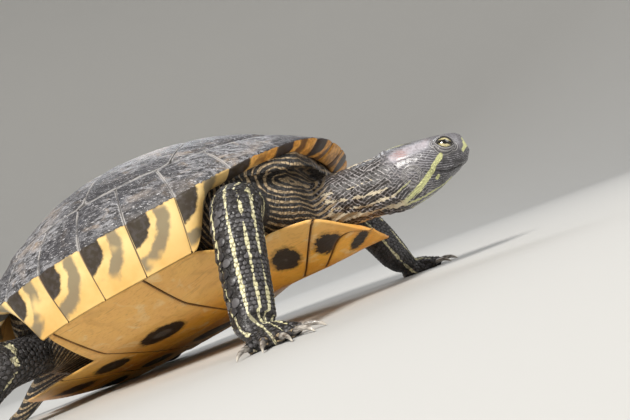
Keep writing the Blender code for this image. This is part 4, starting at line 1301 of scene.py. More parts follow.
def stretch_list():
    """Each stretch in order, with its centre where the earlier ones have moved it. The first one shrinks the
    hidden trunk, which needs no detail."""
    head = placed_lengths((0.662, HEAD_SWAY, 0.085))
    wanted = [(np.array(TRUNK_MIDDLE), 0.42, 0.082)]
    wanted += [(centre, 1.6, 0.0085) for centre in EYE_CENTRES.values()] + [(head, 2.6, 0.026)]
    wanted += [(np.array((*leg["middle"], 0.004)), 1.8, 0.017) for leg in LEGS.values()]
    made = []
    for centre, factor, reach in wanted:
        for earlier in made:
            centre = stretch(centre, *earlier)
        made.append((centre, factor, reach))
    return made


def remeshed(points, faces, size):
    """Points and faces of a voxel remesh of a mesh."""
    source = in_scene("flesh_lofts", new_mesh("flesh_lofts", points, faces))
    grid = source.modifiers.new("voxels", "REMESH")
    grid.mode = "VOXEL"
    grid.voxel_size = size
    made = source.evaluated_get(bpy.context.evaluated_depsgraph_get()).to_mesh()
    new_points = read_all(made.vertices, "co", 3, float)
    starts, totals = read_all(made.polygons, "loop_start"), read_all(made.polygons, "loop_total")
    corners = read_all(made.loops, "vertex_index")
    slots = starts[:, None] + np.arange(4)
    new_faces = np.where(np.arange(4) < totals[:, None], corners[np.minimum(slots, len(corners) - 1)], -1)
    bpy.data.objects.remove(source)
    return new_points.reshape(-1, 3), new_faces


flesh_points, flesh_faces = joined(flesh_parts)
stretches = stretch_list()
for centre, factor, reach in stretches:
    flesh_points = stretch(flesh_points, centre, factor, reach)
skin_points, skin_faces = remeshed(flesh_points, flesh_faces, VOXEL)
for centre, factor, reach in reversed(stretches):
    skin_points = stretch(skin_points, centre, factor, reach, back=True)
print("skin after the remesh:", len(skin_points), "points,", len(skin_faces), "faces")


# %% Smoothing and arrows
MANY = 4_000_000                                   # more than the skin's points, to pack two numbers into one


def links_of(faces):
    """Each edge once in each direction, from the faces' corners."""
    triangle = faces[:, 3] < 0
    pairs = [faces[:, [0, 1]], faces[:, [1, 2]], faces[~triangle][:, [2, 3]], faces[~triangle][:, [3, 0]],
             faces[triangle][:, [2, 0]]]
    pairs = np.sort(np.concatenate(pairs), axis=1)
    pairs = np.unique(pairs[:, 0] * MANY + pairs[:, 1])
    a, b = pairs // MANY, pairs % MANY
    return np.concatenate([a, b]), np.concatenate([b, a])


def neighbour_mean(values, links, count):
    """The mean of each point's neighbours."""
    start, end = links
    degree = np.maximum(np.bincount(start, minlength=count), 1)[:, None]
    total = [np.bincount(start, values[end, k], minlength=count) for k in range(values.shape[1])]
    return np.stack(total, axis=-1) / degree


def smoothed(points, links, rounds, weight=1.0, keep_size=True):
    """Moves each point half way to its neighbours' mean, then, to keep the size, a little more than that
    back."""
    for _ in range(rounds):
        points = points + 0.5 * weight * (neighbour_mean(points, links, len(points)) - points)
        if keep_size:
            points = points - 0.53 * weight * (neighbour_mean(points, links, len(points)) - points)
    return points


def point_arrows(points, faces):
    """Outward unit arrows: the sum of the arrows of the faces round each point."""
    d = np.where(faces[:, 3] >= 0, faces[:, 3], faces[:, 0])
    face_arrow = np.cross(points[faces[:, 2]] - points[faces[:, 0]], points[d] - points[faces[:, 1]])
    triangle = faces[:, 3] < 0
    a, b, c = (points[faces[:, n]] for n in range(3))
    face_arrow = np.where(triangle[:, None], np.cross(b - a, c - a), face_arrow)
    total = np.zeros_like(points)
    for n in range(4):
        used = faces[:, n] >= 0
        for k in range(3):
            total[:, k] += np.bincount(faces[used, n], face_arrow[used, k], minlength=len(points))
    return unit(total)


def near(points, centre, reach):
    """One at a centre and nothing beyond a reach."""
    return 1 - soft_step(np.linalg.norm(points - centre, axis=-1), reach * 0.4, reach)


skin_links = links_of(skin_faces)
skin_points = smoothed(skin_points, skin_links, 6)
junctions = np.zeros(len(skin_points))
for leg in LEGS.values():
    junctions = np.maximum(junctions, near(skin_points, (leg["path"][0] + leg["path"][1]) / 2, 0.034))
    junctions = np.maximum(junctions, 0.8 * near(skin_points, leg["path"][2], 0.013))
collar_middle = placed_lengths((0.40, 0, 0.11))
junctions = np.maximum(junctions, near(skin_points, collar_middle, 0.036))
skin_points = smoothed(skin_points, skin_links, 10, junctions[:, None], keep_size=False)
print("joints smoothed over", int((junctions > 0.1).sum()), "points")

# %% [markdown]
# ## The head's features
# The head gets the most care. Its features are small moves of the skin along its arrows: the eye's opening
# with wrinkled lids, the mouth line under a hard beak, nostrils, the round ear drum, the fold behind the
# skull, and the loose skin of the neck. Each is a bell or a step of a distance, so each has one width and one
# depth.

# %% Distances used for features and markings
def head_space(points):
    """Places in shell lengths in the level shell, with the animal's left side folded onto its right."""
    level = shell_frame(points) / SHELL_LENGTH
    return np.stack([level[:, 0], np.abs(level[:, 1] - HEAD_SWAY), level[:, 2]], axis=-1)


def line_distance(places, line):
    """Distance in millimetres from places in a plane to a broken line, and how far along it, from 0 to 1."""
    line = np.array(line, dtype=float)
    best, along = np.full(len(places), 1e9), np.zeros(len(places))
    for n, (start, end) in enumerate(zip(line[:-1], line[1:])):
        t = np.clip((places - start) @ (end - start) / ((end - start) @ (end - start)), 0, 1)
        distance = np.linalg.norm(places - start - t[:, None] * (end - start), axis=1)
        along = np.where(distance < best, (n + t) / (len(line) - 1), along)
        best = np.minimum(best, distance)
    return in_mm(best), along


EYE_LINE = np.array((0.873, 0.0, -0.489))            # from the eye's rear corner to its front corner
EYE_LENGTH, EYE_HEIGHT = 4.6, 3.00                    # half the opening, in millimetres


def eye_axes(side):
    """Outward, lengthwise and upward arrows of an eye in the level shell. It looks 22 degrees forward."""
    sign = 1 if side == "left" else -1
    out = np.array((math.sin(math.radians(22)), sign * math.cos(math.radians(22)), 0.06))
    out /= np.linalg.norm(out)
    along = EYE_LINE - (EYE_LINE @ out) * out
    along /= np.linalg.norm(along)
    up = np.cross(out, along) * sign
    return out, along, up * np.sign(up[2])


def eye_places(points, side):
    """Millimetres from the eye's middle: outward, along the opening, and up."""
    away = (shell_frame(points) - shell_frame(EYE_CENTRES[side])) / MM
    return [away @ arrow for arrow in eye_axes(side)]


def eye_opening(along, up):
    """Signed millimetres from the edge of a lens-shaped opening: negative inside."""
    height = EYE_HEIGHT * np.clip(1 - (along / EYE_LENGTH) ** 2, 0, 1) ** 0.75
    return np.where(np.abs(along) < EYE_LENGTH, np.abs(up) - height, np.hypot(np.abs(along) - EYE_LENGTH, up))


# %% Mouth, nostrils, ear drum and folds
MOUTH = ((0.668, 0.046), (0.675, 0.041), (0.690, 0.037), (0.708, 0.038), (0.731, 0.041), (0.760, 0.046))
EAR_DRUM, EAR_DRUM_RADIUS = (0.620, 0.056), 4.4
TEMPLE_EDGE = ((0.583, 0.150), (0.588, 0.120), (0.606, 0.103), (0.640, 0.096), (0.672, 0.098))
SKULL_FOLD = ((0.582, 0.165), (0.581, 0.140), (0.590, 0.112), (0.596, 0.085))
CHEEK_LINE = ((0.664, 0.046), (0.655, 0.060), (0.660, 0.078), (0.676, 0.086))
NOSTRIL = (0.7480, 0.0085, 0.0970)


def from_mouth(place):
    """Millimetres above the mouth's line in side view."""
    return in_mm(place[:, 2] - np.interp(place[:, 0], *np.array(MOUTH).T))


def from_drum(place):
    """Millimetres outside the ear drum's circle in side view."""
    return in_mm(np.linalg.norm(place[:, [0, 2]] - EAR_DRUM, axis=1)) - EAR_DRUM_RADIUS


def head_relief(points):
    """Moves of the head's skin along its arrows, in millimetres."""
    place = head_space(points)
    side_view = place[:, [0, 2]]
    on_head = soft_step(place[:, 0], 0.560, 0.590)
    mouth, drum = from_mouth(place), from_drum(place)
    has_mouth = soft_step(place[:, 0], 0.664, 0.672)
    move = -0.62 * hump(mouth, 0.30) * has_mouth
    move += 0.28 * hump(mouth - 0.9, 0.55) * has_mouth + 0.12 * hump(mouth + 0.9, 0.6) * has_mouth
    beak = soft_step(place[:, 0], 0.722, 0.729) * (1 - soft_step(place[:, 2], 0.078, 0.085))
    move += 0.16 * beak
    to_side = soft_step(place[:, 1], 0.030, 0.045) * on_head
    ring = -0.36 * hump(drum, 0.38) + 0.16 * hump(drum - 0.8, 0.4) - 0.12 * hump(drum - 1.7, 0.4)
    move += to_side * (ring - 0.12 * (1 - soft_step(drum, -1.2, -0.2)))
    fold, _ = line_distance(side_view, SKULL_FOLD)
    move += -0.70 * hump(fold, 0.50) + 0.28 * hump(fold - 1.2, 0.8)
    temple, _ = line_distance(side_view, TEMPLE_EDGE)
    move += -0.24 * hump(temple, 0.38) * to_side
    cheek, _ = line_distance(side_view, CHEEK_LINE)
    move += -0.26 * hump(cheek, 0.34) * to_side
    nostril = in_mm(np.linalg.norm(place - NOSTRIL, axis=1))
    move += -0.95 * hump(nostril, 0.62) + 0.14 * hump(nostril - 1.2, 0.4)
    chin = in_mm(np.abs(place[:, 1]))
    move += -0.20 * hump(chin, 0.5) * soft_step(place[:, 0], 0.64, 0.68) * (1 - soft_step(mouth, -3, -1))
    fine = layered_noise(points, 0.0016, 2, 301)
    return move * on_head + 0.05 * fine * on_head


def neck_relief(points):
    """Loose skin, in millimetres: lengthwise folds, cross wrinkles, and a rolled collar at the shell."""
    level = shell_frame(points) / SHELL_LENGTH
    on_neck = soft_step(level[:, 0], 0.385, 0.42) * (1 - soft_step(level[:, 0], 0.560, 0.585))
    around = np.arctan2(level[:, 2] - 0.095, level[:, 1] + 0.003)
    wander = layered_noise(points, 0.012, 3, 311)
    folds = np.sin(around * 15 + 3.2 * wander + level[:, 0] * 16)
    cross = layered_noise(level, (0.0075, 0.03, 0.03), 2, 315)
    net = layered_noise(level, (0.010, 0.0065, 0.0065), 2, 318)
    below = soft_step(-np.sin(around), 0.2, 0.9)
    collar = hump(in_mm(level[:, 0] - 0.425 + 0.25 * (level[:, 2] - 0.1)), 3.2)
    second = hump(in_mm(level[:, 0] - 0.460 + 0.22 * (level[:, 2] - 0.1)), 2.0)
    folded = on_neck * (0.20 * folds + 0.28 * cross + 0.24 * net + 0.3 * below * folds - 0.3)
    rolled = (collar * 0.9 + second * 0.35) * soft_step(level[:, 0], 0.36, 0.40)
    return folded + rolled * (1 - soft_step(np.abs(level[:, 1]), 0.10, 0.14))


def limb_relief(points, leg):
    """Cross wrinkles at the elbow and small folds at the root of a leg, in millimetres."""
    at_elbow = near(points, leg["path"][1], 0.022)
    at_root = near(points, leg["path"][0], 0.040)
    wrinkle = layered_noise(points, (0.006, 0.006, 0.0022), 2, 321)
    return at_elbow * 0.25 * wrinkle + at_root * 0.45 * layered_noise(points, (0.012, 0.004, 0.004), 2, 325)


arrows = point_arrows(skin_points, skin_faces)
lying = shell_frame(skin_points)
on_neck_or_head = (lying[:, 0] > 0.355 * SHELL_LENGTH) & (np.abs(lying[:, 1]) < 0.15 * SHELL_LENGTH)
relief = np.where(on_neck_or_head, head_relief(skin_points) + neck_relief(skin_points), 0)
for leg in LEGS.values():
    relief += limb_relief(skin_points, leg)
skin_points = skin_points + arrows * (relief * MM)[:, None]


# %% Eyelids
def open_lids(points, side):
    """Inside the opening the skin drops below the eyeball; round it lie a raised edge and wrinkle grooves."""
    out, along, up = eye_places(points, side)
    centre = EYE_CENTRES[side]
    distance = np.linalg.norm(points - centre, axis=1) / MM
    edge = eye_opening(along, up)
    facing = soft_step(out, 0.5, 2.0) * (1 - soft_step(distance, 7.6, 8.8))
    inside = (1 - soft_step(edge, -0.50, 0.0)) * facing
    lid = 0.26 * hump(edge - 0.32, 0.28) - 0.26 * hump(edge - 1.05, 0.22) - 0.26 * hump(edge - 1.9, 0.24)
    lid += 0.14 * hump(edge - 1.5, 0.22) - 0.50 * hump(edge - 2.9, 0.34) + 0.26 * hump(edge - 3.8, 0.6)
    new = np.where(inside > 0, distance * (1 - inside) + 4.1 * inside, distance) + lid * facing
    return centre + (points - centre) * (new / np.maximum(distance, 1e-6))[:, None]


for eye_side in EYE_CENTRES:
    skin_points = open_lids(skin_points, eye_side)
skin_points[:, 2] = np.maximum(skin_points[:, 2], FLOOR_GAP)
print("skin moved by", round(float(relief.min()), 2), "to", round(float(relief.max()), 2), "mm")

# %% [markdown]
# ## Markings
# A slider's skin is dark with pale lines. Instead of painting colours point by point, the skin stores
# distances: how many millimetres each point lies from the nearest stripe's border, and how far from the
# middle of the rings on the shoulder. The finish turns a distance into a sharp line, so the lines stay crisp
# however large the faces are.

# %% Stripes on the head and neck
HEAD_STRIPES = (
    (((0.693, 0.070), (0.677, 0.060), (0.659, 0.048), (0.640, 0.039), (0.622, 0.032), (0.599, 0.026),
      (0.579, 0.020), (0.545, 0.020), (0.510, 0.030), (0.470, 0.048), (0.420, 0.070)), 1.22, 1.40),
    (((0.752, 0.097), (0.749, 0.086)), 0.30, 0.50),
    (((0.7535, 0.0820), (0.7460, 0.0705), (0.7350, 0.0600), (0.7210, 0.0500)), 1.35, 0.40),
    (((0.741, 0.044), (0.738, 0.039)), 0.70, 0.60),
    (((0.668, 0.036), (0.662, 0.032)), 0.70, 0.60),
    (((0.727, 0.034), (0.700, 0.029), (0.676, 0.024)), 0.35, 0.50),
    (((0.560, 0.060), (0.500, 0.072), (0.430, 0.098)), 0.55, 0.65),
    (((0.610, 0.050), (0.570, 0.042), (0.500, 0.052), (0.430, 0.082)), 0.35, 0.55),
    (((0.540, 0.094), (0.485, 0.100), (0.420, 0.120)), 0.25, 0.60),
)
CHIN_STRIPES = (
    (((0.735, 0.000), (0.700, 0.000), (0.670, 0.004), (0.640, 0.014), (0.570, 0.026),
      (0.430, 0.034)), 0.7, 0.9),
    (((0.640, 0.000), (0.560, 0.000), (0.430, 0.000)), 0.5, 0.9),
)
CROWN_STRIPES = (
    (((0.735, 0.016), (0.690, 0.030), (0.640, 0.034), (0.580, 0.030), (0.430, 0.034)), 0.05, 0.3),
    (((0.560, 0.000), (0.430, 0.000)), 0.3, 0.6),
)


def neck_middle(x):
    """Height of the middle of neck and head, in shell lengths."""
    return np.interp(x, (0.40, 0.50, 0.576, 0.75), (0.112, 0.098, 0.083, 0.073))


def stripe_distance(places, stripes, wobble):
    """Millimetres from the border of the nearest stripe: distance to its line less its half width there."""
    best = np.full(len(places), FAR)
    for line, start_width, end_width in stripes:
        distance, along = line_distance(places, line)
        best = np.minimum(best, distance + wobble - start_width - (end_width - start_width) * along)
    return best


def head_and_neck_stripes(points):
    """Side lines are drawn in side view, those of chin and crown from below and from above."""
    place = head_space(points)
    wobble = (0.35 + 0.35 * (1 - soft_step(place[:, 0], 0.57, 0.60))) * layered_noise(points, 0.004, 3, 401)
    height = (place[:, 2] - neck_middle(place[:, 0])) / 0.070
    to_side = 3.5 * (1 - soft_step(place[:, 1], 0.016, 0.030))
    side = stripe_distance(place[:, [0, 2]], HEAD_STRIPES, wobble) + to_side * (place[:, 0] < 0.735)
    flat = place[:, [0, 1]]
    chin = stripe_distance(flat, CHIN_STRIPES, wobble) + FAR * soft_step(height, -0.75, -0.35)
    crown = stripe_distance(flat, CROWN_STRIPES, wobble) + FAR * (1 - soft_step(height, 0.35, 0.75))
    return np.minimum(np.minimum(side, chin), crown)


# %% Stripes down the legs and the tail
LEG_STRIPES = {"fore": ((82, 0.80), (47, 0.55), (18, 0.70), (-20, 0.5), (128, 0.45), (165, 0.5), (-75, 0.6)),
               "hind": ((60, 0.5), (100, 0.7), (135, 0.6), (170, 0.7), (-150, 0.5), (20, 0.5), (-60, 0.6))}
LEG_REACH = 0.0155             # skin this near a leg's middle line belongs to the leg
LEG_STEPS, HIDDEN_STEPS = 30, 7


def leg_places(points, leg):
    """For each point: how far down the leg it is, its distance from the leg's middle line, and in degrees the
    compass turn of its way out from that line, mirrored so that 90 is away from the body."""
    t, centre, ahead, *_ = path_frames(leg["path"], 60, up=LEG_UP)
    gap = np.linalg.norm(points[:, None] - centre[None], axis=-1)
    nearest = gap.argmin(axis=1)
    away = points - centre[nearest]
    away = away - (away * ahead[nearest]).sum(axis=1, keepdims=True) * ahead[nearest]
    return t[nearest], gap.min(axis=1), np.degrees(np.arctan2(away[:, 1] * leg["side"], away[:, 0]))


def leg_stripes(points, leg, kind):
    """Millimetres round the leg from the border of the nearest stripe, which twists a little on its way down.
    Also how far down each point is, and its distance from the leg's middle line."""
    t, gap, turn = leg_places(points, leg)
    wobble = 0.5 * layered_noise(points, 0.005, 2, 411)
    best = np.full(len(points), FAR)
    for place, width in LEG_STRIPES[kind]:
        off = (turn - place + 180 + 26 * (t - 0.5)) % 360 - 180
        best = np.minimum(best, np.radians(np.abs(off)) * gap / MM + wobble - width)
    return best, t, gap


def region_of(points):
    """For each point, which leg it belongs to, or -1 for head, neck, trunk and tail. The first steps of a
    leg's path lie inside the trunk and don't count."""
    owner, best = np.full(len(points), -1), np.full(len(points), LEG_REACH)
    for n, leg in enumerate(LEGS.values()):
        _, centre, *_ = path_frames(leg["path"], LEG_STEPS, up=LEG_UP)
        gap = np.linalg.norm(points[:, None] - centre[None, HIDDEN_STEPS:], axis=-1).min(axis=1)
        owner = np.where(gap < best, n, owner)
        best = np.minimum(best, gap)
    return owner


skin_stripe = head_and_neck_stripes(skin_points)
skin_level = shell_frame(skin_points) / SHELL_LENGTH
skin_place = head_space(skin_points)
skin_stripe = np.where(skin_level[:, 0] > 0.415, skin_stripe, FAR)
skin_owner = region_of(skin_points)
leg_share = np.zeros(len(skin_points))
for n, (leg_name, leg) in enumerate(LEGS.items()):
    mine = skin_owner == n
    stripe, t, gap = leg_stripes(skin_points[mine], leg, leg_name[:4])
    skin_stripe[mine] = stripe
    leg_share[mine] = soft_step(LEG_REACH - gap, 0.0, 0.002)

# %% Rings on the shoulders, and lines in the groin
RING_CENTRES = ((0.384, 0.160), (0.398, 0.154))
RING_STEP, RING_BLEND = 2.7, 1.6          # millimetres: from band to band, and where the two sets meet


def shoulder_rings(places):
    """Millimetres from two centres in side view, blended smoothly, so that each has its own small rings and
    wide hollow bands hang below both. Ahead of the centres the bands run out level towards the neck."""
    away = in_mm(places[:, None, [0, 2]] - np.array(RING_CENTRES))
    away[..., 0] *= np.where(away[..., 0] > 0, 0.55, 1.0)
    apart = np.linalg.norm(away, axis=-1)
    return -RING_BLEND * np.log(np.exp(-apart / RING_BLEND).sum(axis=1)) + 0.6


rings = shoulder_rings(skin_place) + 0.75 * layered_noise(skin_points, 0.007, 3, 421)
ring_share = soft_step(skin_level[:, 0], 0.16, 0.22) * (1 - soft_step(skin_level[:, 0], 0.425, 0.455))
rear = soft_step(-skin_level[:, 0], 0.15, 0.25)
rings = np.where(rear > 0.5, in_mm(np.abs(skin_level[:, 1]) + 0.6 * skin_level[:, 2]), rings)
ring_share = np.maximum(ring_share, rear) * (skin_owner < 0)
on_head = soft_step(skin_level[:, 0], 0.565, 0.600)
# Behind the eye: the faded red ear, with a painted pale sheen laid over it.
ear_line, _ = line_distance(skin_place[:, [0, 2]], ((0.672, 0.108), (0.640, 0.112), (0.602, 0.114)))
ear_and_sheen_patch = (1 - soft_step(ear_line, 1.0, 5.0)) * on_head * soft_step(skin_place[:, 1], 0.02, 0.035)
# The upper head: its smoother plates, and where the skin finish lays a painted sheen that lightens it.
head_plates_and_sheen_share = on_head * soft_step(skin_place[:, 2], 0.05, 0.075)

# %% A net of creases on neck and cheek, and rings round the eyes and ear drums
net_along = in_mm(skin_place[:, 0])
net_around = np.arctan2(skin_place[:, 2] - neck_middle(skin_place[:, 0]), skin_place[:, 1]) * 16
net_share = soft_step(skin_level[:, 0], 0.38, 0.43) * (skin_owner < 0)
for place, low, high in ((skin_place[:, 0], 0.625, 0.665), (skin_place[:, 2] * on_head, 0.088, 0.104),
                         (skin_place[:, 1], 0.070, 0.095)):
    net_share = net_share * (1 - soft_step(place, low, high))
lid_edge = np.full(len(skin_points), FAR)
for eye_side in EYE_CENTRES:
    eye_out, eye_along, eye_up = eye_places(skin_points, eye_side)
    at_eye = (eye_out > 0) & (np.hypot(eye_along, eye_up) < FAR)
    lid_edge = np.where(at_eye, eye_opening(eye_along, eye_up), lid_edge)
drum_edge = np.abs(from_drum(skin_place)) + FAR * (1 - on_head)
lid_edge = np.minimum(lid_edge, drum_edge * 1.5 + 1.0)
net_share = net_share * (1 - 0.6 * hump(drum_edge, 1.4))
mouth = np.abs(from_mouth(skin_place)) + FAR * (1 - soft_step(skin_place[:, 0], 0.664, 0.670))
print("points on legs:", int((skin_owner >= 0).sum()), " points with rings:", int((ring_share > 0.5).sum()))

# %% [markdown]
# ### The skin's finish
# Nearly black skin. On the neck it is crossed by a net of creases: two slanted families of wandering lines,
# each a sine of the place on the unrolled neck, whose ridges are laid pale grey as a painted highlight. The
# head is smoother and glossier, with rings round the eye, fine pale lines on the face that are painted
# highlight, and a painted sheen that lightens its upper part. Near-black lines in the mouth's groove, round
# each eye opening and between the scale cells are painted shade. The stripes are pale green-yellow, duller on
# the neck. The slider's red patch behind the eye is faded to a dull pink here, as on old dark animals, and a
# pale bluish painted highlight lies over it. The bump is cells for scales, flattened on the head and left out
# on the neck, then the creases and a fine grain over all.

# %% Finish of the skin
def slider_skin():
    b = Bench("slider_skin")
    stripe, rings, ringed = b.mark("stripe"), b.mark("rings"), b.mark("ring_share")
    head, neck, ear, leg = b.mark("head"), b.mark("neck"), b.mark("ear"), b.mark("leg")
    grain, cloud, fine = b.noise(520, 4, rough=0.7), b.noise(75, 4), b.noise(1500, 2)
    wander = b.noise(150, 5, rough=0.62)

    def creases(turn, period, low, high):
        """Ridges in parallel lines that wander, on the unrolled neck: a share from 0 to 1 that carries a
        painted pale highlight, and on the neck also the ridges' bump.
        """
        turn = math.radians(turn)
        phase = b.plus(b.times(b.mark("net_along"), -math.sin(turn)),
                       b.times(b.mark("net_around"), math.cos(turn)))
        phase = b.plus(b.times(phase, 2 * math.pi / period), b.times(wander, 15.0))
        return b.step(b.plus(b.math("SINE", phase), b.times(grain, 0.9)), low, high)

    patchy = b.noise(150, 3)
    crossed = b.times(creases(-58, 2.3, 0.80, 1.35), b.step(patchy, 0.38, 0.56, 0.10, 1.0))
    level = b.times(creases(20, 1.75, 0.70, 1.35), b.step(patchy, 0.64, 0.46, 0.15, 1.0))
    ridges = b.times(b.math("MAXIMUM", crossed, level), neck)
    face = b.times(b.times(creases(-35, 1.5, 0.70, 1.20), b.step(patchy, 0.38, 0.52)), head)
    scales = b.between(head, b.cell_edges(430), b.cell_edges(760))
    # The upper head's share: smoother plates for the bump, and the reach of the painted sheen on the colour.
    smooth = b.mark("temple")
    raised = b.between(neck, b.step(scales, 0.02, 0.22), 1.0)
    colour = b.blend(b.step(grain, 0.35, 0.7), (0.014, 0.012, 0.011), (0.050, 0.045, 0.042))
    head_colour = b.blend(b.step(cloud, 0.3, 0.7), (0.029, 0.028, 0.032), (0.078, 0.075, 0.082))
    head_colour = b.tinted(head_colour, (grain, 0.55, 0.75, 0.5, (0.25, 0.245, 0.255)))
    colour = b.blend(b.times(head, 0.80), colour, head_colour)
    # Painted highlight: the upper head is laid lighter grey, a sheen as where light falls on its glossy top.
    colour = b.blend(b.times(smooth, 0.40), colour, (0.170, 0.163, 0.178))
    # Painted highlight: a pale bluish-white sheen over the ear patch, pinkish where the faded red shows; the
    # dull red core below is the ear's own colour.
    painted_sheen = b.times(ear, b.step(grain, 0.30, 0.62, 0.45, 0.95))
    patch = b.blend(b.step(cloud, 0.42, 0.56), (0.52, 0.51, 0.56), (0.46, 0.34, 0.34))
    colour = b.blend(painted_sheen, colour, patch)
    colour = b.blend(b.times(b.step(ear, 0.55, 1.0), b.step(cloud, 0.30, 0.65, 0.08, 0.36)), colour,
                     (0.38, 0.17, 0.15))
    # Painted highlight: fine pale lines on the face, as where its creases catch light, kept clear of the lids.
    colour = b.blend(b.times(face, b.step(b.mark("lid"), 2.6, 4.2, 0.0, 0.68)), colour, (0.38, 0.37, 0.40))
    # Painted highlight: the neck's crease ridges are laid pale grey, as where they catch light, broken up by a
    # noise.
    ridge_glint_share = b.step(b.noise(430, 3, rough=0.7), 0.38, 0.60, 0.18, 0.85)
    colour = b.blend(b.times(ridges, ridge_glint_share), colour, (0.44, 0.41, 0.415))
    lids = b.mark("lid")
    fold = b.math("COSINE", b.times(b.math("SUBTRACT", lids, 0.55), 2 * math.pi))
    fold = b.times(b.step(b.plus(fold, grain), 0.35, 1.1), b.step(lids, 3.9, 2.6))
    colour = b.blend(b.times(fold, 0.75), colour, (0.42, 0.405, 0.40))
    # Painted shade: a near-black line along the mouth's groove and round the rim of each eye opening.
    mouth_groove_shade = b.plus(b.mark("mouth"), b.times(grain, 0.35))
    colour = b.tinted(
        colour, (mouth_groove_shade, 0.62, 0.36, 0.90, (0.008, 0.006, 0.006)),
        (lids, 0.30, 0.12, 0.92, (0.012, 0.010, 0.009)))
    band = b.math("SINE", b.times(rings, 2 * math.pi / RING_STEP))
    band = b.plus(band, b.times(b.math("SINE", b.times(rings, math.pi / RING_STEP)), 0.45))
    band = b.ragged(band, cloud, 1.6)
    band = b.times(b.step(b.plus(band, b.times(grain, 0.7)), 0.50, 0.95), ringed)
    colour = b.blend(b.times(band, 0.88), colour, (0.50, 0.37, 0.22))
    wobbly = b.ragged(stripe, grain, 0.8)
    pale = b.blend(head, (0.60, 0.52, 0.38), (0.62, 0.63, 0.30))
    pale = b.blend(b.step(leg, 0.2, 0.8), pale, (0.62, 0.57, 0.36))
    wobbly = b.plus(wobbly, b.times(b.math("SUBTRACT", 0.5, ridges), b.times(neck, 0.5)))
    line = b.step(wobbly, 0.16, -0.16)
    colour = b.blend(b.times(line, b.step(cloud, 0.2, 0.5, 0.72, 0.95)), colour, pale)
    # Painted shade: the borders between the scale cells are darkened nearly to black, less on the upper head
    # and not where the neck's net is.
    scale_border_shade = b.times(b.math("SUBTRACT", 1.0, raised), b.step(smooth, 0.0, 1.0, 0.55, 0.10))
    colour = b.blend(scale_border_shade, colour, (0.010, 0.009, 0.009))
    rough = b.ragged(b.between(head, 0.46, 0.28), grain, 0.25)
    height = b.times(raised, b.between(head, 1.0, 0.24))
    height = b.times(height, b.step(smooth, 0.0, 1.0, 1.0, 0.25))
    height = b.plus(height, b.times(ridges, 0.9))
    height = b.plus(height, b.times(grain, 0.35))
    height = b.plus(height, b.times(fine, 0.10))
    return b.done(Base_Color=colour, Roughness=rough, Normal=b.bump(height, 0.00045, 0.85),
                  Specular_IOR_Level=0.38, Coat_Weight=b.step(head, 0.0, 1.0, 0.06, 0.30),
                  Coat_Roughness=0.25)


FLESH_NODES = ["trunk", "neck", "head", "lower_jaw", "tail", *LEGS,
               *(name.replace("leg", "foot") for name in LEGS)]
skin_marks = {"stripe": skin_stripe, "rings": rings, "ring_share": ring_share, "head": on_head,
              "neck": net_share, "net_along": net_along, "net_around": net_around, "lid": lid_edge,
              "mouth": mouth, "ear": ear_and_sheen_patch, "temple": head_plates_and_sheen_share, "leg": leg_share}
skin_finish = slider_skin()
piece("skin", (skin_points, skin_faces), skin_finish, FLESH_NODES, skin_marks)
print("skin triangles:", piece_sizes["skin"])

# %% [markdown]
# ## Eyes
# The eyeball is one turned form: a ball with a slightly fuller front, under a clear coat. Its iris is pale
# yellow-green. A dark bar crosses it from corner to corner, in line with the head's stripes, with the round
# pupil in its middle. Iris and pupil come from the distance to the pupil's middle, stored at the points.


# %% The eyeballs
def eyeball(side):
    """A ball turned about its outward arrow. Its front bulges by a bell of the angle from that arrow."""
    out, along, up = (arrow @ TILT.T for arrow in eye_axes(side))
    angle = np.concatenate([np.linspace(0.02, 0.9, 40), np.linspace(0.95, math.pi - 0.05, 26)])[:, None]
    turn = np.linspace(0, 2 * math.pi, 72, endpoint=False)[None, :]
    radius = (EYE_RADIUS - 0.00012) * (1 + 0.035 * hump(angle, 0.45))
    spread = np.sin(angle) * radius
    rings = (np.cos(angle) * radius)[..., None] * out + (spread * np.cos(turn))[..., None] * along \
        + (spread * np.sin(turn))[..., None] * up + EYE_CENTRES[side]
    front = EYE_CENTRES[side] + out * radius[0, 0]
    back = EYE_CENTRES[side] - out * radius[-1, 0]
    points, faces = closed_loft(rings, (front, back))
    away = (points - EYE_CENTRES[side]) / MM
    marks = {"from_pupil": np.hypot(away @ along, away @ up) + FAR * (away @ out < 0),
             "bar": np.abs(away @ up)}
    return turned_outward(points, faces), marks


def eye_finish():
    b = Bench("wet_eye", 0.12)
    from_pupil, bar = b.mark("from_pupil"), b.mark("bar")
    grain = b.noise(1500, 4, rough=0.7)
    iris = b.blend(b.step(from_pupil, 1.4, 3.4), (0.60, 0.52, 0.30), (0.41, 0.37, 0.18))
    iris = b.tinted(iris, (grain, 0.45, 0.62, 0.55, (0.16, 0.15, 0.04)))
    ragged = b.ragged(bar, grain, 0.7)
    colour = b.blend(b.step(ragged, 1.15, 0.90), iris, (0.014, 0.010, 0.006))
    colour = b.blend(b.step(from_pupil, 1.42, 1.30), colour, (0.004, 0.003, 0.003))
    colour = b.blend(b.step(from_pupil, 3.3, 4.0), colour, (0.05, 0.045, 0.03))
    return b.done(Base_Color=colour, Coat_Weight=0.8, Coat_Roughness=0.06, Normal=b.bump(grain, 0.00006, 0.5))


wet_eye = eye_finish()
for eye_side in EYE_CENTRES:
    eye_shape, eye_marks = eyeball(eye_side)
    piece(f"eyeball_{eye_side}", eye_shape, wet_eye, [f"eye_{eye_side}"], eye_marks)

# %% [markdown]
# ## Claws
# Each claw is a curved cone, deeper than wide, that leaves the toe level and turns down to the floor. Its
# root is sunk into the toe.


# %% Claws
CLAW_BEND = ((0, 0.0025), (0.40, 0.0031), (0.78, 0.0020), (0.97, 0.0004))    # share of the length, height
CLAW_RINGS, CLAW_SIDES = 26, 18
CLAW_CLEARANCE = 0.0001                           # claws and scales stay this far above the floor


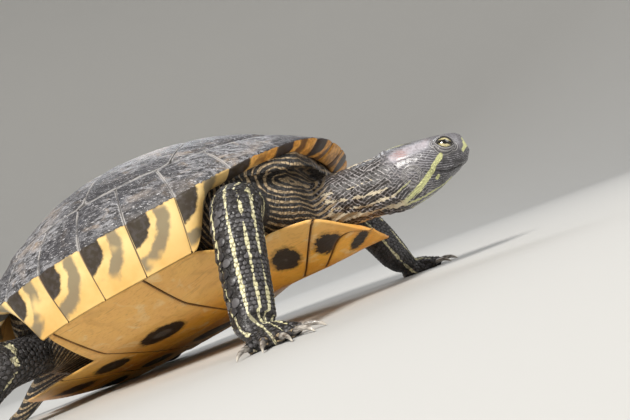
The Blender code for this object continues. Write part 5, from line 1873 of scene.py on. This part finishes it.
def claw_shape(leg, toe):
    """Oval rings along a path that bends down, shrinking as the square root of what is left to the tip."""
    ahead = heading(toe + leg["turn"])
    start = np.array((*leg["middle"], 0)) + ahead * (foot_outline(np.array([toe]), leg)[0] - CLAW_ROOT)
    path = [start + ahead * share * CLAW_LENGTH + (0, 0, height) for share, height in CLAW_BEND]
    t = np.linspace(0, 1, CLAW_RINGS)
    tall = list(zip(t, CLAW_RADIUS * np.sqrt(1 - t * 0.985) * (1 + 0.04 * np.sin(t * 60))))
    wide = [(place, value * 0.80) for place, value in tall]
    rings = swept(path, wide, tall, CLAW_RINGS, CLAW_SIDES)
    rings[..., 2] = np.maximum(rings[..., 2], CLAW_CLEARANCE)
    tip = start + ahead * CLAW_LENGTH + (0, 0, 0.0002)
    points, faces = closed_loft(rings, (None, tip))
    return turned_outward(points, faces), np.concatenate([np.repeat(t, CLAW_SIDES), [0, 1]])


def claw_horn():
    b = Bench("claw_horn")
    along = b.mark("along")
    streaks = b.noise(900, 4, place=b.stretched((0.4, 0.4, 1.4)), rough=0.65)
    colour = b.blend(b.step(streaks, 0.35, 0.7), (0.100, 0.082, 0.070), (0.52, 0.48, 0.43))
    colour = b.tinted(
        colour, (along, 0.55, 1.0, 0.7, (0.62, 0.57, 0.48)),
        (along, 0.22, 0.05, 0.6, (0.03, 0.028, 0.027)))
    return b.done(Base_Color=colour, Roughness=b.step(streaks, 0.3, 0.8, 0.28, 0.50),
                  Normal=b.bump(streaks, 0.00012, 0.8), Coat_Weight=0.15)


claw_finish = claw_horn()
for leg_name, leg in LEGS.items():
    foot_name = leg_name.replace("leg", "foot")
    for number, toe in enumerate(toe_angles(leg["toes"]), start=1):
        claw, claw_along = claw_shape(leg, toe)
        claw_name = f"{foot_name}_claw_{number}"
        piece("curved_" + claw_name, claw, claw_finish, [claw_name], {"along": claw_along})
print("claws:", sum("claw" in name for name in piece_sizes))

# %% [markdown]
# ## Scales on the limbs
# Legs and feet wear small horny scales: staggered rows of small ones round the limb, a column of large ones
# down its outer side, and fine ones on the foot. Each scale is a closed low dome of 32 faces with a squarish
# outline, sunk a little into the skin, with its far end raised. They are made as arrays, limb by limb.

# %% One scale
SCALE_CORNERS = 8
SCALE_RINGS = ((1.00, -0.30), (0.93, 0.60), (0.60, 0.93))     # share of the outline, share of the height
SCALE_POINTS = SCALE_CORNERS * len(SCALE_RINGS) + 2


def scale_faces():
    """Two bands, bottom fan and top fan of one scale. Its points are three rings, then two centres."""
    rings = grid_faces(3, SCALE_CORNERS, wrap=True)
    centre = 3 * SCALE_CORNERS
    bottom = fan_faces(centre, np.arange(SCALE_CORNERS)[::-1])
    top = fan_faces(centre + 1, np.arange(SCALE_CORNERS) + 2 * SCALE_CORNERS)
    return np.concatenate([rings, bottom, top])


def scale_array(roots, out, ahead, sizes, bend, rng):
    """Many scales at once. Each outline is a rounded box, half way between ellipse and rectangle. The height
    is a dome, less the limb's own bend across the scale, plus a lift towards the far end."""
    count = len(roots)
    across = np.cross(out, ahead)
    turn = (np.arange(SCALE_CORNERS) + 0.5) * 2 * math.pi / SCALE_CORNERS
    box = np.stack([np.cos(turn), np.sin(turn)], axis=-1)
    box /= (np.abs(box) ** 3.2).sum(axis=-1, keepdims=True) ** (1 / 3.2)
    box = box[None] * (1 + 0.16 * (rng.random((count, SCALE_CORNERS, 1)) - 0.5))
    flat = np.concatenate([box * share for share, _ in SCALE_RINGS] + [np.zeros((count, 2, 2))], axis=1)
    level = np.repeat([height for _, height in SCALE_RINGS], SCALE_CORNERS)
    level = np.concatenate([level, (-0.30, 1.0)])
    flat = flat * sizes[:, None, :2]
    height = level[None] * sizes[:, 2:] - flat[..., 1] ** 2 / (2 * bend) + 0.13 * flat[..., 0]
    points = roots[:, None] + flat[..., :1] * ahead[:, None] + flat[..., 1:] * across[:, None] \
        + height[..., None] * out[:, None]
    faces = scale_faces()
    starts = np.arange(count)[:, None, None] * SCALE_POINTS
    faces = np.where(faces >= 0, faces[None] + starts, -1).reshape(-1, 4)
    rim = np.concatenate([np.repeat([share for share, _ in SCALE_RINGS], SCALE_CORNERS), (1.0, 0.0)])
    offsets = flat / np.maximum(sizes[:, None, :2].max(), 1e-9)
    return points.reshape(-1, 3), faces, np.tile(rim, count), offsets


# %% Where scales grow
# Sizes of a scale in metres: half its length, half its width and its height. Steps: from row to row and along
# one.
SMALL_SCALE, SMALL_STEPS = (0.00098, 0.00108, 0.00034), (0.0020, 0.0022)
LARGE_SCALE, LARGE_STEPS = (0.00215, 0.00235, 0.00075), (0.0043, 0.0047)
FOOT_SCALE, FOOT_SPACING = (0.00084, 0.00080, 0.00030), 0.00150
LIMB_RADIUS = 0.0105
FOOT_TOP, LEG_FOOT = 0.0108, 0.0100               # scattered scales end at the first, rows at the second
LARGE_TURN, LARGE_REACH = 122, 26                 # degrees: middle and half width of the large scales' column
LARGE_FROM, LARGE_TO = 0.46, 0.86                 # shares of the leg's path that the column covers
skin_tree = BVHTree.FromPolygons(skin_points.tolist(), [f[f >= 0].tolist() for f in skin_faces])


def on_skin(starts, directions, reach):
    """Casts arrows from inside a limb through the skin: where each comes out, and the skin's arrow there."""
    hits = [skin_tree.ray_cast(Vector(s), Vector(d), reach) for s, d in zip(starts, directions)]
    found = np.array([hit[0] is not None for hit in hits])
    places = np.array([tuple(hit[0]) if hit[0] is not None else (0, 0, 0) for hit in hits])
    out = np.array([tuple(hit[1]) if hit[0] is not None else (0, 0, 1) for hit in hits])
    out *= np.where((out * directions).sum(axis=1, keepdims=True) < 0, -1, 1)
    return found, places, out


def flattened(arrows, out):
    """Arrows laid flat on the skin, whose own arrow is out, and brought to length 1."""
    return unit(arrows - (arrows * out).sum(axis=1, keepdims=True) * out)


def limb_rows(path, first, last, row_step, side_step, rng):
    """Staggered rows across a limb. Row n is turned by half a scale against row n - 1."""
    t, centre, ahead, side, top = path_frames(path, 240, up=LEG_UP)
    run = np.concatenate([[0], np.cumsum(np.linalg.norm(np.diff(centre, axis=0), axis=1))])
    rows = np.arange(first * run[-1], last * run[-1], row_step)
    per_row = max(int(2 * math.pi * LIMB_RADIUS / side_step), 8)
    angle = (np.arange(per_row)[None] + 0.5 * (np.arange(len(rows)) % 2)[:, None]
             + 0.22 * (rng.random((len(rows), per_row)) - 0.5)) * 2 * math.pi / per_row
    place = rows[:, None] + 0.20 * row_step * (rng.random(angle.shape) - 0.5)
    index = np.searchsorted(run, place.ravel()).clip(0, len(run) - 1)
    angle = angle.ravel()
    directions = np.cos(angle)[:, None] * side[index] + np.sin(angle)[:, None] * top[index]
    found, roots, out = on_skin(centre[index], directions, 1.55 * LIMB_RADIUS)
    along = flattened(ahead[index], out)
    gap = np.linalg.norm(roots - centre[index], axis=1)
    return roots[found], out[found], along[found], t[index][found], gap[found]


def scattered(candidates, spacing, rng):
    """Picks points in random order, each at least a spacing from those already picked."""
    order = rng.permutation(len(candidates))
    tree = KDTree(len(candidates))
    for n, place in enumerate(candidates):
        tree.insert(place, n)
    tree.balance()
    free = np.ones(len(candidates), bool)
    picked = []
    for n in order:
        if free[n]:
            picked.append(n)
            free[[k for _, k, _ in tree.find_range(candidates[n], spacing)]] = False
    return np.array(picked)


skin_arrows = point_arrows(skin_points, skin_faces)


def from_large(points, leg):
    """Degrees round the leg from the middle of the large scales' column."""
    return np.abs((leg_places(points, leg)[2] - LARGE_TURN + 180) % 360 - 180)


def scale_sizes(size, count, spread, rng):
    """Sizes of many scales, each 0.85 of the given size or up to the spread more."""
    return np.tile(size, (count, 1)) * (0.85 + spread * rng.random((count, 1)))


def limb_scales(leg, seed):
    """Rows on the leg, a column of large scales on its outer side, and scattered small ones on the foot."""
    rng = np.random.default_rng(seed)
    roots, out, along, t, gap = limb_rows(leg["path"], 0.34, 0.90, *SMALL_STEPS, rng)
    keep = (from_large(roots, leg) >= LARGE_REACH) | (t <= LARGE_FROM) | (t >= LARGE_TO)
    keep &= roots[:, 2] > LEG_FOOT
    small = roots[keep], out[keep], along[keep]
    sizes = scale_sizes(SMALL_SCALE, keep.sum(), 0.30, rng)
    sizes[:, :2] *= (0.72 + 0.28 * np.clip(gap[keep] / LIMB_RADIUS, 0, 1.3))[:, None]
    big = limb_rows(leg["path"], LARGE_FROM, LARGE_TO, *LARGE_STEPS, rng)
    chosen = (from_large(big[0], leg) < LARGE_REACH - 4) & (big[0][:, 2] > LEG_FOOT)
    large_sizes = scale_sizes(LARGE_SCALE, chosen.sum(), 0.25, rng)
    middle = np.array((*leg["middle"], 0.003))
    near_foot = (np.linalg.norm(skin_points - middle, axis=1) < 0.026) & (skin_points[:, 2] < FOOT_TOP) & (
        skin_points[:, 2] > 0.0011) & (skin_arrows[:, 2] > -0.25 * np.linalg.norm(skin_arrows, axis=1))
    candidates = np.flatnonzero(near_foot)
    picked = candidates[scattered(skin_points[candidates], FOOT_SPACING, rng)]
    foot_out = unit(skin_arrows[picked])
    foot_along = flattened(skin_points[picked] - middle, foot_out)
    foot_sizes = scale_sizes(FOOT_SCALE, len(picked), 0.30, rng)
    groups = ((*small, sizes, 0.010), (big[0][chosen], big[1][chosen], big[2][chosen], large_sizes, 0.011),
              (skin_points[picked], foot_out, foot_along, foot_sizes, 0.006))
    return scale_piece(groups, rng)


def scale_piece(groups, rng):
    """Joins groups of scales, with a tone for each scale and its patch on an unwrap round the limb."""
    shapes, rims, tones, offsets, roots = [], [], [], [], []
    for places, out, ahead, sizes, bend in (group for group in groups if len(group[0])):
        points, faces, rim, offset = scale_array(places, out, ahead, sizes, bend, rng)
        shapes.append((points, faces))
        rims.append(rim)
        tones.append(np.repeat(rng.random(len(places)), SCALE_POINTS))
        roots.append(np.repeat(places, SCALE_POINTS, axis=0))
        offsets.append(offset.reshape(-1, 2))
    return joined(shapes), *(np.concatenate(values) for values in (rims, tones, roots, offsets))


# %% [markdown]
# ### The scales' finish
# Dark, fairly glossy horn with a greyer dome, a different tone on each scale, and the pale stripe where one
# crosses: the stripe's distance is worked out at each scale's points with the same formula as on the skin.

# %% Finish of the scales
def limb_scale_finish():
    b = Bench("limb_scales")
    stripe, rim, tone = b.mark("stripe"), b.mark("rim"), b.mark("tone")
    grain = b.noise(800, 3)
    colour = b.blend(b.step(tone, 0.0, 1.0), (0.022, 0.019, 0.019), (0.085, 0.080, 0.083))
    colour = b.tinted(
        colour, (grain, 0.50, 0.75, 0.5, (0.145, 0.138, 0.140)),
        (rim, 0.80, 1.0, 0.75, (0.010, 0.009, 0.009)))
    pale = b.blend(b.step(tone, 0.0, 1.0), (0.62, 0.58, 0.34), (0.78, 0.74, 0.50))
    line = b.step(b.ragged(stripe, tone, 0.5), 0.12, -0.12)
    colour = b.blend(b.times(line, 0.93), colour, pale)
    rough = b.step(b.plus(tone, grain), 0.4, 1.6, 0.34, 0.56)
    return b.done(Base_Color=colour, Roughness=rough, Normal=b.bump(grain, 0.00008, 0.7), Coat_Weight=0.08,
                  Coat_Roughness=0.30, Specular_IOR_Level=0.40)


def unwrapped(roots, offsets, leg):
    """Each scale's small patch at its root's place: round the leg and down it. The foot is as from above."""
    t, _, turn = leg_places(roots, leg)
    foot = roots[:, 2] < FOOT_TOP
    spread = (roots[:, :2] - leg["middle"]) / 0.06
    u = np.where(foot, 0.25 + spread[:, 0] * 0.4, 0.04 + 0.92 * (turn + 180) / 360)
    v = np.where(foot, 0.14 + spread[:, 1] * 0.24, 0.30 + 0.66 * t)
    return np.stack([u, v], axis=-1) + 0.0015 * offsets


scale_finish = limb_scale_finish()
for number, (leg_name, leg) in enumerate(LEGS.items()):
    scales, rim, tone, roots, offsets = limb_scales(leg, 700 + number)
    scales[0][:, 2] = np.maximum(scales[0][:, 2], CLAW_CLEARANCE)
    stripe, *_ = leg_stripes(scales[0], leg, leg_name[:4])
    scales_name = f"scales_{leg_name}"
    piece(scales_name, turned_outward(*scales), scale_finish, (),
          {"stripe": stripe, "rim": rim, "tone": tone}, 40, unwrapped(roots, offsets, leg))
    print(leg_name, "has", len(scales[0]) // SCALE_POINTS, "scales,", piece_sizes[scales_name], "triangles")
# %% [markdown]
# ## The triangles of the new pieces
# The triangles of all new pieces are added up and printed.

# %% Count the triangles
print("triangles in new pieces:", sum(piece_sizes.values()))
